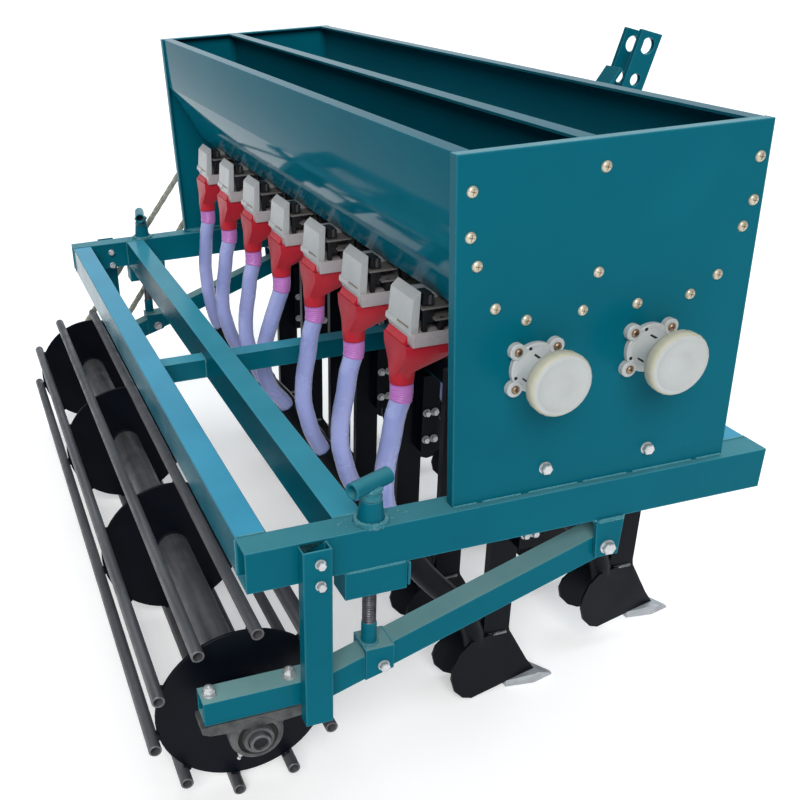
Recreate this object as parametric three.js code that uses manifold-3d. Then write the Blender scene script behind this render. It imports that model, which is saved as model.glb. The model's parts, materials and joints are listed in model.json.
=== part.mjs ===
// Seven-row wheat planter carried on a three-point hitch, with a cage roller
// behind that sets its working depth.  Millimetres, +Z up, +Y is the way it is
// pulled, +X is its right-hand side.  Inside this file lengths along Y start at
// the rear end of the side rails and heights start at the top of the rails.  The
// machine parks on its roller and its rear shares with the front end raised, so
// the group turns everything by PITCH and shifts it so that the origin is the
// middle of the footprint, on the ground.
import * as THREE from 'three';
import { mergeVertices } from 'three/addons/utils/BufferGeometryUtils.js';
import Module from 'manifold-3d';

const wasm = await Module();
wasm.setup();

// ---------------------------------------------------------------- dimensions
const GAP = 0.3;                       // gap between pieces that touch
const END_X = 675;                     // knob caps on the right, shaft ends on the left
// frame tubes
const RAIL_X = 625, RAIL_W = 35, RAIL_H = 50, RAIL_L = 637, WALL = 3;
const REAR_Y = [0, 35], MIDDLE_Y = [110, 145], FRONT_Y = [602, 637];
const SPINE_X = 33, SPINE = 30;        // light tube along the middle, flush below
const BAR_Y = [431, 466];              // tube that carries the rear openers, level with the rails
// hopper
const PLATE_X = 617, PLATE_T = 3, HOP_Y = [221, 564], HOP_TOP = 375, FLANGE = 14;
const FOLD_Z = 289, FLOOR_Z = 190, PART_Y = 372, SHEET = 3;
const LEAN = 0.047;                    // the hopper leans back by this much of its height
// meters: shaft heights, and rows
const ROW = 150, ROWS_REAR = [3, 2, 1, 0, -1, -2, -3], ROWS_FRONT = [2.5, 1.5, 0.5, -0.5, -1.5, -2.5];
const SHAFT_REAR_Y = 320, SHAFT_FRONT_Y = 455, SHAFT_Z = 154, SHAFT_R = 9;
const SPOUT_REAR_Y = 252, SPOUT_FRONT_Y = 514;
const CUP_X = [-36, 40], CUP_TOP_Z = 134, SPOUT_Z = 81, HOSE_R = 13;
// openers
const SHANK_T = 12, SHANK_D = 40, MIDDLE_SHANK_X = -25, FRONT_LIFT = 7, TIE_T = 3.4;
const SHARE_Y = [38, 122], SHARE_Z = -427.7, SEED_TUBE_R = 16.5;
// roller and its arms
const ROLL_Y = 5, ROLL_Z = -254, RING_R = 117, ROD_R = 8, ROD_WALL = 2.5, RODS = 10, ROD_END = 584, RING_PHASE = 82;
const DISC_X = [-560, -187, 187, 560], DISC_T = 4, DISC_R = RING_R - ROD_R - GAP, CORE_R = 24, CORE_WALL = 3.5, STUB_R = 12.5;
const ARM_X = [590, 620], ARM_H = 32, PIVOT_Y = 436, PIVOT_Z = -88, ARM_REAR_Z = -205.5;
const SCREW_X = 607.5, SCREW_Y = 147, SCREW_R = 8.5, BOSS_R = [15.4, 12.2], BOSS_TOP = 27;
const T_BAR = { right: [[618.4, 120.5], [597.6, 170.5]], left: [[634, 150.2], [581, 140.8]] }, T_BAR_Z = 46, T_BAR_R = 9.5;
// drive at the left end
const CHAIN_X = -655, CHAIN_W = 14, SPROCKET_ROLL_R = 32, SPROCKET_METER_R = 26, CHAIN_T = 9;
const LINK_X = -634;
// hitch
const MAST_X = [21, -17], MAST_T = 8, MAST_W = 38, MAST_BASE = [728, -25], MAST_TOP = [851.5, 387.12];
const HITCH_X = 300, HITCH_HALF = 32, PIN_Y = 785, PIN_Z = -58, PIN_R = 11;
// parked attitude, and the origin after the turn
const PITCH_DEG = 6.5;
const ORIGIN_Y = 367.338, GROUND_Z = -376.783;

// ------------------------------------------------------------------- helpers
const AXES = {
  X: new THREE.Matrix4().makeBasis(new THREE.Vector3(0, 1, 0), new THREE.Vector3(0, 0, 1), new THREE.Vector3(1, 0, 0)),
  Y: new THREE.Matrix4().makeBasis(new THREE.Vector3(0, 0, 1), new THREE.Vector3(1, 0, 0), new THREE.Vector3(0, 1, 0)),
  Z: new THREE.Matrix4(),
};

function solid(geometry) {
  const g = geometry.index ? geometry.clone() : geometry.clone();
  for (const key of Object.keys(g.attributes)) if (key !== 'position') g.deleteAttribute(key);
  const m = mergeVertices(g, 1e-4);
  return new wasm.Manifold(new wasm.Mesh({
    numProp: 3,
    vertProperties: new Float32Array(m.attributes.position.array),
    triVerts: new Uint32Array(m.index.array),
  }));
}

function box(x0, x1, y0, y1, z0, z1) {
  const g = new THREE.BoxGeometry(x1 - x0, y1 - y0, z1 - z0);
  g.translate((x0 + x1) / 2, (y0 + y1) / 2, (z0 + z1) / 2);
  return solid(g);
}

// outline points are (y,z) when extruded along X, (z,x) along Y, (x,y) along Z
function prism(axis, outline, from, to) {
  const pts = outline.map(([a, b]) => new THREE.Vector2(a, b));
  if (THREE.ShapeUtils.area(pts) < 0) pts.reverse();
  const g = new THREE.ExtrudeGeometry(new THREE.Shape(pts), { depth: to - from, steps: 1, bevelEnabled: false });
  g.translate(0, 0, from);
  g.applyMatrix4(AXES[axis]);
  return solid(g);
}

function disc(axis, radius, centreA, centreB, from, to, sides = 24, turn = 0) {
  const pts = [];
  for (let i = 0; i < sides; i++) {
    const a = (i / sides) * 2 * Math.PI + turn;
    pts.push([centreA + radius * Math.cos(a), centreB + radius * Math.sin(a)]);
  }
  return prism(axis, pts, from, to);
}

// a round bar of even or tapering radius from one point to another
function bar(p, q, r0, r1 = r0, sides = 16) {
  const a = new THREE.Vector3(...p), b = new THREE.Vector3(...q), dir = b.clone().sub(a);
  const g = new THREE.CylinderGeometry(r1, r0, dir.length(), sides);
  g.applyQuaternion(new THREE.Quaternion().setFromUnitVectors(new THREE.Vector3(0, 1, 0), dir.clone().normalize()));
  g.translate(...a.add(b).multiplyScalar(0.5).toArray());
  return solid(g);
}

function tube(x, y, z, wall, along) {
  const grow = { x: along === 'x' ? -1 : wall, y: along === 'y' ? -1 : wall, z: along === 'z' ? -1 : wall };
  return box(x[0], x[1], y[0], y[1], z[0], z[1]).subtract(
    box(x[0] + grow.x, x[1] - grow.x, y[0] + grow.y, y[1] - grow.y, z[0] + grow.z, z[1] - grow.z));
}

// a bent strip of even thickness along a polyline, as a closed outline
function strip(line, t) {
  const side = (s) => line.map((p, i) => {
    const dir = (a, b) => { const d = [b[0] - a[0], b[1] - a[1]], l = Math.hypot(...d); return [d[0] / l, d[1] / l]; };
    const before = i > 0 ? dir(line[i - 1], p) : null, after = i < line.length - 1 ? dir(p, line[i + 1]) : null;
    const a = before || after, b = after || before;
    const n = [-(a[1] + b[1]), a[0] + b[0]], l = Math.hypot(...n);
    const k = (t / 2) / ((n[0] * -a[1] + n[1] * a[0]) / l);
    return [p[0] + (s * n[0] * k) / l, p[1] + (s * n[1] * k) / l];
  });
  return [...side(1), ...side(-1).reverse()];
}

const join = (...parts) => parts.reduce((a, b) => a.add(b));
const cut = (a, ...holes) => holes.reduce((s, h) => s.subtract(h), a);
const moved = (s, x, y, z) => s.translate([x, y, z]);

const group = new THREE.Group();
group.rotation.x = THREE.MathUtils.degToRad(PITCH_DEG);
group.position.set(0, -ORIGIN_Y, -GROUND_Z);

const PAINT = {
  teal: [0x0b6170, 0.35, 0.2], black: [0x15191d, 0.5, 0.2], steel: [0x9a9a98, 0.35, 0.8],
  zinc: [0xb9a978, 0.4, 0.8], white: [0xd9d8cf, 0.4, 0.0], red: [0xb02330, 0.4, 0.0],
  hose: [0x9aa3cc, 0.3, 0.0], rod: [0x4b4b50, 0.45, 0.6], cast: [0x1d2226, 0.6, 0.3],
};

function add(name, shape, paint) {
  const mesh = shape.getMesh();
  const g = new THREE.BufferGeometry();
  g.setAttribute('position', new THREE.BufferAttribute(new Float32Array(mesh.vertProperties), 3));
  g.setIndex(new THREE.BufferAttribute(new Uint32Array(mesh.triVerts), 1));
  g.computeVertexNormals();
  const [color, roughness, metalness] = PAINT[paint];
  const m = new THREE.Mesh(g, new THREE.MeshStandardMaterial({ color, roughness, metalness }));
  m.name = name;
  group.add(m);
}

const SIDES = [['right', 1], ['left', -1]];
const flip = (s, side) => (side > 0 ? s : s.mirror([1, 0, 0]));

// --------------------------------------------------------------------- frame
for (const [side, s] of SIDES) {
  const rail = cut(
    join(tube([RAIL_X - RAIL_W, RAIL_X], [0, RAIL_L], [-RAIL_H, 0], WALL, 'y'), bar([SCREW_X, SCREW_Y, -0.5], [SCREW_X, SCREW_Y, BOSS_TOP], ...BOSS_R, 20)),
    disc('Z', SCREW_R + 1.5, SCREW_X, SCREW_Y, -RAIL_H - 1, BOSS_TOP + 1, 12));
  add(`side_rail_${side}`, flip(rail, s), 'teal');
}
const INNER = RAIL_X - RAIL_W - GAP;
add('rear_cross_tube', tube([-INNER, INNER], REAR_Y, [-RAIL_H, 0], WALL, 'x'), 'teal');
{
  const spineZ = [-RAIL_H, -RAIL_H + SPINE], spineX = [SPINE_X - SPINE / 2, SPINE_X + SPINE / 2];
  const back = tube(spineX, [REAR_Y[1] + GAP, MIDDLE_Y[0] + 1], spineZ, 2.5, 'y');
  const fore = tube(spineX, [MIDDLE_Y[1] - 1, FRONT_Y[0] - GAP], spineZ, 2.5, 'y');
  const cross = tube([-INNER, INNER], MIDDLE_Y, [-RAIL_H, 0], WALL, 'x');
  const carrier = tube([-INNER, INNER], BAR_Y, [-RAIL_H, 0], WALL, 'x');
  const inside = ([a, b]) => box(-INNER - 1, INNER + 1, a + WALL, b - WALL, -RAIL_H + WALL, -WALL);
  // the spine stays open through the tube that carries the openers
  const bore = box(spineX[0] + WALL, spineX[1] - WALL, BAR_Y[0] - 1, BAR_Y[1] + 1, spineZ[0] + WALL, spineZ[1] - WALL);
  add('middle_cross_and_spine', cut(join(cross, back, fore, carrier), inside(MIDDLE_Y), inside(BAR_Y), bore), 'teal');
}
add('front_cross_tube', tube([-INNER, INNER], FRONT_Y, [-RAIL_H, 0], WALL, 'x'), 'teal');

// ------------------------------------------------------------------- openers
// One opener: (y, z) with y from the rear face of its shank.
const WING = [[35, -329], [45, -337], [62, -369], [76, -395], [91, -417], [29, -417.5], [-4, -418], [-25, -418.5],
  [-41, -411], [-55, -395], [-60, -375], [-57, -358], [-45, -340], [-25, -329]];
const WING_SPREAD = 0.23, WING_T = 4;
const NOSE_AT = -143, NOSE_RAKE = 0.568;   // the wings meet along y = NOSE_AT - NOSE_RAKE * z
const SLOPE = Math.tan(THREE.MathUtils.degToRad(PITCH_DEG));
function opener(shankTop) {
  const shank = prism('X', [[0, -352], [24, -385], [50, -372], [SHANK_D, -325], [SHANK_D, shankTop - 10], [SHANK_D - 10, shankTop], [0, shankTop]],
    -SHANK_T / 2, SHANK_T / 2);
  // each wing plate spreads from the nose line out towards the rear
  const wing = prism('X', WING, -WING_T / 2, WING_T / 2);
  const lean = (s) => wing.transform([1, 0, 0, 0, -s * WING_SPREAD, 1, 0, 0, -s * WING_SPREAD * NOSE_RAKE, 0, 1, 0, s * WING_SPREAD * NOSE_AT, 0, 0, 1]);
  // the share lies flat on the ground when the machine is parked
  const [r, t] = SHARE_Y, tipZ = SHARE_Z - (t - r) * SLOPE;
  const share = prism('X', [[r, SHARE_Z], [t, tipZ], [t, tipZ + 3], [91, -416.5], [r, -416.5]], -15, 15)
    .intersect(prism('Z', [[-15, r], [15, r], [15, 86], [3, t], [-3, t], [-15, 86]], SHARE_Z - 20, -400));
  return join(shank, lean(1), lean(-1), share);
}
// closed solid swept along (y, z) points at one x, or drifting from x0 to x1
function sweep(line, radius, x0, x1, steps, sides = 8) {
  const pts = line.map(([y, z], i) => new THREE.Vector3(x0 + (x1 - x0) * Math.min(1, Math.max(0, (i - 1) / (line.length - 3))), y, z));
  const ring = [];
  for (let i = 0; i < sides; i++) ring.push(new THREE.Vector2(radius * Math.cos((i / sides) * 2 * Math.PI), radius * Math.sin((i / sides) * 2 * Math.PI)));
  return solid(new THREE.ExtrudeGeometry(new THREE.Shape(ring), { steps, bevelEnabled: false, extrudePath: new THREE.CatmullRomCurve3(pts) }));
}
// where the opener of a row stands: the middle one sits beside the spine
const openerX = (r) => (r === 0 ? MIDDLE_SHANK_X : r * ROW);
// steel seed tube behind a shank, (y, z) from the shank's rear face
const SEED_TUBE = [[-125.5, -157], [-112.5, -180], [-87.5, -215], [-57.5, -250], [-27.5, -290], [-13, -330], [-10, -346]];
const seedTube = (y0, lift) => sweep(SEED_TUBE.map(([y, z]) => [y0 + y, z + lift]), SEED_TUBE_R, 0, 0, 8, 12);
// hoses from the spouts into those tubes, (y, z)
const HOSE_END = [[256, -146], [268, -168]];
const HOSE_REAR = { usual: [[245, 37], [240, 4], [235, -22], [232.5, -48], [233, -72], [238, -96], [245, -122]],
  middle: [[244, 34], [233, 0], [223, -38], [221, -72], [227, -100], [239, -125]], far: [[247, 37], [243, 4], [240, -26], [241, -60], [244, -92], [249, -122]] };
const HOSE_FRONT = [[SPOUT_FRONT_Y, SPOUT_Z - 1], [514.1, 60], [508, 20], [500, -25], [497, -65], [500, -100], [508, -130], [521.5, -161]];
const hoseRear = (r, radius) => sweep([[SPOUT_REAR_Y, SPOUT_Z - 1], [SPOUT_REAR_Y, 60], ...HOSE_REAR[r === 0 ? 'middle' : r === -3 ? 'far' : 'usual'], ...HOSE_END],
  radius, r * ROW, openerX(r), 13);
const hoseFront = (r, radius) => sweep(HOSE_FRONT, radius, r * ROW, r * ROW, 9);
{
  // shanks stand behind their tube, tied by a strip along its rear face, each with a holder below the tube
  const front = BAR_Y[0] - GAP, y0 = front - TIE_T - SHANK_D + 0.2, one = join(opener(14), box(-26, 26, 30, 58, -180, -RAIL_H - GAP));
  let gang = cut(box(-480, 480, front - TIE_T, front, -45, -2),
    box(SPINE_X - SPINE / 2 - GAP, SPINE_X + SPINE / 2 + GAP, front - 10, front + 1, -RAIL_H, -RAIL_H + SPINE + GAP));
  for (const r of ROWS_REAR) gang = join(gang, moved(one, openerX(r), y0, 0), moved(seedTube(y0, 0), openerX(r), 0, 0));
  for (const r of ROWS_REAR) gang = gang.subtract(hoseRear(r, HOSE_R + 0.8));
  add('rear_opener_gang', gang, 'black');
}
{
  // shanks stand in front of the front tube, tied by a strip along its front face
  const back = FRONT_Y[1] + GAP, y0 = back + TIE_T - 0.2;
  const one = join(moved(opener(43), 0, 0, FRONT_LIFT), box(-26, 26, SHANK_D - 0.2, SHANK_D + 8, -66, 16));
  let gang = box(-405, 405, back, back + TIE_T, -48, -2);
  for (const r of ROWS_FRONT) gang = join(gang, moved(one, r * ROW, y0, 0), moved(seedTube(y0, FRONT_LIFT), r * ROW, 0, 0));
  for (const r of ROWS_FRONT) gang = gang.subtract(hoseFront(r, HOSE_R + 0.8));
  add('front_opener_gang', gang, 'black');
}

// -------------------------------------------------------------------- hopper
for (const [side, s] of SIDES) {
  const [y0, y1] = HOP_Y, x1 = PLATE_X, x0 = PLATE_X - PLATE_T, xf = x1 - FLANGE;
  let plate = join(
    box(x0, x1, y0, y1, GAP, HOP_TOP),
    box(xf, x1, y0, y0 + PLATE_T, GAP, HOP_TOP), box(xf, x1, y1 - PLATE_T, y1, GAP, HOP_TOP),
    box(xf, x1, y0, y1, HOP_TOP - PLATE_T, HOP_TOP), box(xf, x1, y0, y1, GAP, GAP + PLATE_T))
    .transform([1, 0, 0, 0, 0, 1, 0, 0, 0, -LEAN, 1, 0, 0, LEAN * HOP_TOP, 0, 1]);
  if (s < 0) plate = cut(plate, disc('X', SHAFT_R + 2, SHAFT_REAR_Y, SHAFT_Z, xf - 1, x1 + 1, 16),
    disc('X', SHAFT_R + 2, SHAFT_FRONT_Y, SHAFT_Z, xf - 1, x1 + 1, 16));
  add(`hopper_end_plate_${side}`, flip(plate, s), 'teal');
}
{
  const end = PLATE_X - PLATE_T - GAP, t = SHEET, rearY = HOP_Y[0] + PLATE_T + GAP + t / 2, frontY = HOP_Y[1] - PLATE_T - GAP - t / 2;
  const lipZ = HOP_TOP - t / 2;
  const drop = LEAN * (HOP_TOP - FOLD_Z);
  const lines = [
    [[rearY + 15, lipZ], [rearY, lipZ], [rearY + drop, FOLD_Z], [287, FLOOR_Z], [354, FLOOR_Z], [PART_Y, 248]],
    [[frontY - 15, lipZ], [frontY, lipZ], [frontY + drop, FOLD_Z], [501, FLOOR_Z], [424, FLOOR_Z], [PART_Y, 262]],
    [[PART_Y - 17, lipZ], [PART_Y, lipZ], [PART_Y, 246]],
  ];
  let shell = join(...lines.map((line) => prism('X', strip(line, t), -end, end)));
  const corner = PLATE_X - FLANGE - GAP;
  for (const s of [1, -1]) shell = shell.subtract(flip(box(corner, end + 1, 0, 700, HOP_TOP - PLATE_T - GAP, HOP_TOP + 5), s));
  add('hopper_bin', shell, 'teal');
}

// ---------------------------------------------------- meters, cups and hoses
// cup outline (y, z) with y from the shaft towards the side where grain falls
function bank(rows, shaftY, spoutY) {
  const out = Math.sign(spoutY - shaftY), f = Math.abs(spoutY - shaftY);
  const y = (v) => shaftY + out * v;
  const side = [[y(f + 15), CUP_TOP_Z], [y(f + 15), SPOUT_Z + 22], [y(f + 12), SPOUT_Z], [y(f - 12), SPOUT_Z], [y(f - 14), SPOUT_Z + 20], [y(-18), CUP_TOP_Z - 12], [y(-18), CUP_TOP_Z]];
  const face = [[SPOUT_Z, -15], [SPOUT_Z + 17, -15], [CUP_TOP_Z - 10, CUP_X[0]], [CUP_TOP_Z, CUP_X[0]], [CUP_TOP_Z, CUP_X[1]], [CUP_TOP_Z - 10, CUP_X[1]], [SPOUT_Z + 17, 15], [SPOUT_Z, 15]];
  const cup = prism('X', side, CUP_X[0], CUP_X[1]).intersect(prism('Y', face, shaftY - 90, shaftY + 90));
  const top = FLOOR_Z - SHEET / 2 - GAP;
  const house = [[y(52), CUP_TOP_Z - 1], [y(60), 158], [y(50), top], [y(-46), top], [y(-46), 150], [y(-30), CUP_TOP_Z - 1]];
  const meter = cut(join(prism('X', house, -31, 31), cup), disc('X', SHAFT_R + 1.5, shaftY, SHAFT_Z, -32, 32, 12));
  const [back, front] = [y(-46), y(-38)].sort((p, q) => p - q);
  let all = box(-rows[0] * ROW, rows[0] * ROW, back, front, top - 22, top - 4);
  for (const r of rows) all = all.add(moved(meter, r * ROW, 0, 0));
  return all;
}
add('rear_meter_bank', bank(ROWS_REAR, SHAFT_REAR_Y, SPOUT_REAR_Y), 'white');
add('front_meter_bank', bank(ROWS_FRONT, SHAFT_FRONT_Y, SPOUT_FRONT_Y), 'white');

ROWS_REAR.forEach((r, i) => add(`seed_hose_${i + 1}`, hoseRear(r, HOSE_R), 'hose'));
ROWS_FRONT.forEach((r, i) => add(`fertiliser_hose_${i + 1}`, hoseFront(r, HOSE_R), 'hose'));

// rate knobs on the right end plate: flange with lugs, neck, then a round cap
for (const [name, y] of [['rear_rate_knob', SHAFT_REAR_Y], ['front_rate_knob', SHAFT_FRONT_Y]]) {
  const x = PLATE_X + GAP;
  let k = join(box(x, x + 8, y - 22, y + 22, SHAFT_Z - 22, SHAFT_Z + 22), disc('X', 21, y, SHAFT_Z, x + 7, x + 43, 20), disc('X', 35, y, SHAFT_Z, x + 42, END_X, 32));
  for (const [dy, dz] of [[-22, 21], [22, 21], [-22, -21], [22, -21]]) k = k.add(disc('X', 9, y + dy, SHAFT_Z + dz, x, x + 8, 8));
  add(name, k, 'white');
}

// ------------------------------------------------------------ chain drive
function loop(y0, z0, r0, y1, z1, r1, t) {
  // closed outline of a loop round two circles, outer or inner side
  const d = Math.hypot(y1 - y0, z1 - z0), a = Math.atan2(z1 - z0, y1 - y0), b = Math.acos((r0 - r1) / d);
  const out = [];
  for (let i = 0; i <= 10; i++) { const q = a + b + ((2 * Math.PI - 2 * b) * i) / 10; out.push([y0 + (r0 + t) * Math.cos(q), z0 + (r0 + t) * Math.sin(q)]); }
  for (let i = 0; i <= 10; i++) { const q = a - b + (2 * b * i) / 10; out.push([y1 + (r1 + t) * Math.cos(q), z1 + (r1 + t) * Math.sin(q)]); }
  return out;
}
function chain(y0, z0, r0, y1, z1, r1, x) {
  return cut(prism('X', loop(y0, z0, r0, y1, z1, r1, CHAIN_T), x - CHAIN_W / 2, x + CHAIN_W / 2),
    prism('X', loop(y0, z0, r0, y1, z1, r1, 0), x - CHAIN_W / 2 - 1, x + CHAIN_W / 2 + 1));
}
const SLACK = 0.8;                       // chain stands this far off its sprockets
add('drive_chain', chain(ROLL_Y, ROLL_Z, SPROCKET_ROLL_R + SLACK, SHAFT_REAR_Y, SHAFT_Z, SPROCKET_METER_R + SLACK, CHAIN_X), 'zinc');
add('meter_link_chain', chain(SHAFT_REAR_Y, SHAFT_Z, SPROCKET_METER_R + SLACK, SHAFT_FRONT_Y, SHAFT_Z, SPROCKET_METER_R + SLACK, LINK_X), 'zinc');
// each meter shaft runs the width of the hopper and carries its sprockets
{
  const shaft = (y, far) => disc('X', SHAFT_R, y, SHAFT_Z, far, PLATE_X - PLATE_T - 1, 12);
  const wheel = (y, x) => disc('X', SPROCKET_METER_R, y, SHAFT_Z, x - 3, x + 3, 20);
  add('rear_meter_shaft', join(shaft(SHAFT_REAR_Y, -END_X), wheel(SHAFT_REAR_Y, CHAIN_X), wheel(SHAFT_REAR_Y, LINK_X)), 'zinc');
  add('front_meter_shaft', join(shaft(SHAFT_FRONT_Y, LINK_X - 14), wheel(SHAFT_FRONT_Y, LINK_X)), 'zinc');
}

// ------------------------------------------------- roller, arms and adjusters
for (const [side, s] of SIDES) {
  // guide bar bolted outside the rail, open at both ends
  add(`guide_bar_${side}`, flip(tube([RAIL_X + GAP, RAIL_X + 18], [57, 90], [-237, -1.5], 2.5, 'z'), s), 'teal');
  // clevis under the rail for the arm's front end
  const [a0, a1] = ARM_X;
  const ears = [[PIVOT_Y - 18, -RAIL_H - GAP], [PIVOT_Y + 18, -RAIL_H - GAP], [PIVOT_Y + 16, PIVOT_Z - 13], [PIVOT_Y - 14, PIVOT_Z - 13]];
  const clevis = join(
    prism('X', ears, a0 - 7, a0 - 2), prism('X', ears, a1 + 2, a1 + 7),
    box(a0 - 7, a1 + 7, PIVOT_Y - 18, PIVOT_Y + 18, -RAIL_H - 6, -RAIL_H - GAP),
    disc('X', 6, PIVOT_Y, PIVOT_Z, a0 - 14, a1 + 14, 12));
  add(`arm_pivot_bracket_${side}`, flip(clevis, s), 'teal');
  // box under the rail that holds the screw's nut
  const nut = cut(box(RAIL_X - RAIL_W, RAIL_X, 111, 184, -86, -RAIL_H - GAP), box(RAIL_X - RAIL_W + 4, RAIL_X - 4, 115, 180, -78, -40),
    disc('Z', SCREW_R + 1.5, SCREW_X, SCREW_Y, -90, -40, 16));
  add(`screw_nut_box_${side}`, flip(nut, s), 'teal');
  // T-handled screw
  const [[ax, ay], [bx, by]] = T_BAR[side], ux = (bx - ax) / 27, uy = (by - ay) / 27;
  const screw = join(
    disc('Z', SCREW_R, SCREW_X, SCREW_Y, -160, T_BAR_Z - 2, 12), disc('Z', 12, SCREW_X, SCREW_Y, BOSS_TOP + 1.2, T_BAR_Z - 3, 16),
    cut(bar([ax, ay, T_BAR_Z], [bx, by, T_BAR_Z], T_BAR_R), bar([ax - ux, ay - uy, T_BAR_Z], [ax + 5 * ux, ay + 5 * uy, T_BAR_Z], 6.5, 6.5, 12),
      bar([bx - 5 * ux, by - 5 * uy, T_BAR_Z], [bx + ux, by + uy, T_BAR_Z], 6.5, 6.5, 12)));
  add(`depth_screw_${side}`, flip(screw, s), 'teal');
  // bent arm of square tube, open behind, with the saddle that the screw bears on
  const line = [[-56, ARM_REAR_Z], [94, ARM_REAR_Z], [PIVOT_Y, PIVOT_Z], [PIVOT_Y + 12, PIVOT_Z + 4.1]];
  const inner = [[-57, ARM_REAR_Z], [94, ARM_REAR_Z], [PIVOT_Y - 24, PIVOT_Z - 8.3]];
  let arm = cut(prism('X', strip(line, ARM_H), a0, a1), prism('X', strip(inner, ARM_H - 6), a0 + 3, a1 - 3));
  arm = cut(arm, disc('X', 6.6, PIVOT_Y, PIVOT_Z, a0 - 1, a1 + 1, 12));
  const cheek = [[137, -163], [172, -163], [172, -196], [137, -206]];
  arm = join(arm, prism('X', cheek, a0 - 4, a0 + 0.2), prism('X', cheek, a1 - 0.2, a1 + 4), box(a0 - 4, a1 + 4, 137, 172, -168, -163));
  const web = box(a0 + 1, a1 - 1, 140, 169, -172, -166);
  add(`roller_arm_${side}`, flip(join(arm, web), s), 'teal');
  // pillow block under the arm
  const yb = ROLL_Y, zTop = ARM_REAR_Z - ARM_H / 2 - GAP, c = 33;
  const house = [[yb - 65, zTop], [yb + 65, zTop], [yb + 65, zTop - 12], [yb + 34, zTop - 15]];
  for (let i = 0; i <= 10; i++) { const q = ((10 - i * 20) * Math.PI) / 180 + 0; house.push([yb + c * Math.cos(-((10 + i * 16) * Math.PI) / 180), ROLL_Z + c * Math.sin(-((10 + i * 16) * Math.PI) / 180)]); }
  house.push([yb - 34, zTop - 15], [yb - 65, zTop - 12]);
  const block = cut(prism('X', house, 589, 624), disc('X', STUB_R + 0.9, ROLL_Y, ROLL_Z, 587, 625, 16));
  add(`roller_bearing_${side}`, flip(block, s), 'cast');
}
{
  // hollow core tube with vent holes in its ends, stub axles, discs and the drive sprocket
  const x0 = DISC_X[0], x1 = DISC_X[3];
  let core = cut(disc('X', CORE_R, ROLL_Y, ROLL_Z, x0, x1, 16), disc('X', CORE_R - CORE_WALL, ROLL_Y, ROLL_Z, x0 + 6, x1 - 6, 16));
  core = join(core, disc('X', STUB_R, ROLL_Y, ROLL_Z, -END_X, x0 + 5, 16), disc('X', STUB_R, ROLL_Y, ROLL_Z, x1 - 5, 634, 16),
    disc('X', SPROCKET_ROLL_R, ROLL_Y, ROLL_Z, CHAIN_X - 3, CHAIN_X + 3, 20));
  const turn = THREE.MathUtils.degToRad(RING_PHASE);
  for (const x of DISC_X) {
    core = core.add(cut(disc('X', DISC_R, ROLL_Y, ROLL_Z, x - DISC_T / 2, x + DISC_T / 2, RODS * 3, turn), disc('X', CORE_R - 1, ROLL_Y, ROLL_Z, x - DISC_T, x + DISC_T, 16)));
  }
  core = cut(core, disc('X', 3.5, ROLL_Y, ROLL_Z + 17, x0 - 5, x0 + 8, 8), disc('X', 3.5, ROLL_Y, ROLL_Z + 17, x1 - 8, x1 + 5, 8));
  add('roller_core', core, 'black');
  for (let i = 0; i < RODS; i++) {
    const q = turn + (2 * Math.PI * i) / RODS, y = ROLL_Y + RING_R * Math.cos(q), z = ROLL_Z + RING_R * Math.sin(q);
    add(`roller_bar_${i + 1}`, cut(disc('X', ROD_R, y, z, -ROD_END, ROD_END, 12, q), disc('X', ROD_R - ROD_WALL, y, z, -ROD_END - 1, ROD_END + 1, 8, q)), 'rod');
  }
}

// --------------------------------------------------------------------- hitch
{
  const [ty, tz] = MAST_TOP, base = MAST_BASE, y0 = FRONT_Y[1] + GAP + TIE_T + GAP;
  const dy = ty - base[0], dz = tz - base[1], l = Math.hypot(dy, dz), ny = (dz / l) * (MAST_W / 2), nz = (-dy / l) * (MAST_W / 2);
  const along = (f, w) => [base[0] + dy * f + ny * w, base[1] + dz * f + nz * w];
  const side = [[y0, -RAIL_H], [base[0] + 22, -RAIL_H], along(0.06, 1), along(1, 1), along(1, -1), along(0.17, -1), [y0 + 30, 6], [y0, 6]];
  const hole = (f, r) => { const [y, z] = along(f, 0); return disc('X', r, y, z, -60, 60, 16); };
  const web = (f, h, x0, x1) => prism('X', [along(f, 0.8), along(f, -0.8), along(f + h, -0.8), along(f + h, 0.8)], x0, x1);
  let mast = join(...MAST_X.map((x) => prism('X', side, x - MAST_T / 2, x + MAST_T / 2)));
  mast = cut(mast, hole(0.953, 12), hole(0.838, 9));
  mast = join(mast, web(0.70, 0.02, MAST_X[1], MAST_X[0]), web(0.36, 0.02, MAST_X[1], MAST_X[0]), box(MAST_X[1], MAST_X[0], y0, y0 + 8, -46, 2));
  // bent stay plate between the cheeks, from the lower hole down to the foot
  mast = join(mast, prism('X', strip([[808, 338], [770, 286], [648, 2]], 6), MAST_X[1], MAST_X[0]));
  add('top_link_mast', mast, 'teal');
}
for (const [side, s] of SIDES) {
  // two ears on a back plate, with the pin through both
  const y0 = FRONT_Y[1] + GAP + TIE_T + GAP, x0 = HITCH_X - HITCH_HALF, x1 = HITCH_X + HITCH_HALF;
  const ear = [[y0, -RAIL_H - 16], [y0, 0], [y0 + 60, 0], [PIN_Y + 24, PIN_Z + 20], [PIN_Y + 24, PIN_Z - 20], [PIN_Y - 12, PIN_Z - 26]];
  const hitch = join(prism('X', ear, x0, x0 + 8), prism('X', ear, x1 - 8, x1), box(x0, x1, y0, y0 + 8, -RAIL_H - 16, 0),
    disc('X', PIN_R, PIN_Y, PIN_Z, x0 - 18, x1 + 18, 20), disc('X', 18, PIN_Y, PIN_Z, x1 - 1, x1 + 7, 20));
  add(`lower_hitch_${side}`, flip(hitch, s), 'teal');
}

export default group;
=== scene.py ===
import json
import math
import random

import bmesh
import bpy
from mathutils import Matrix, Vector


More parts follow.
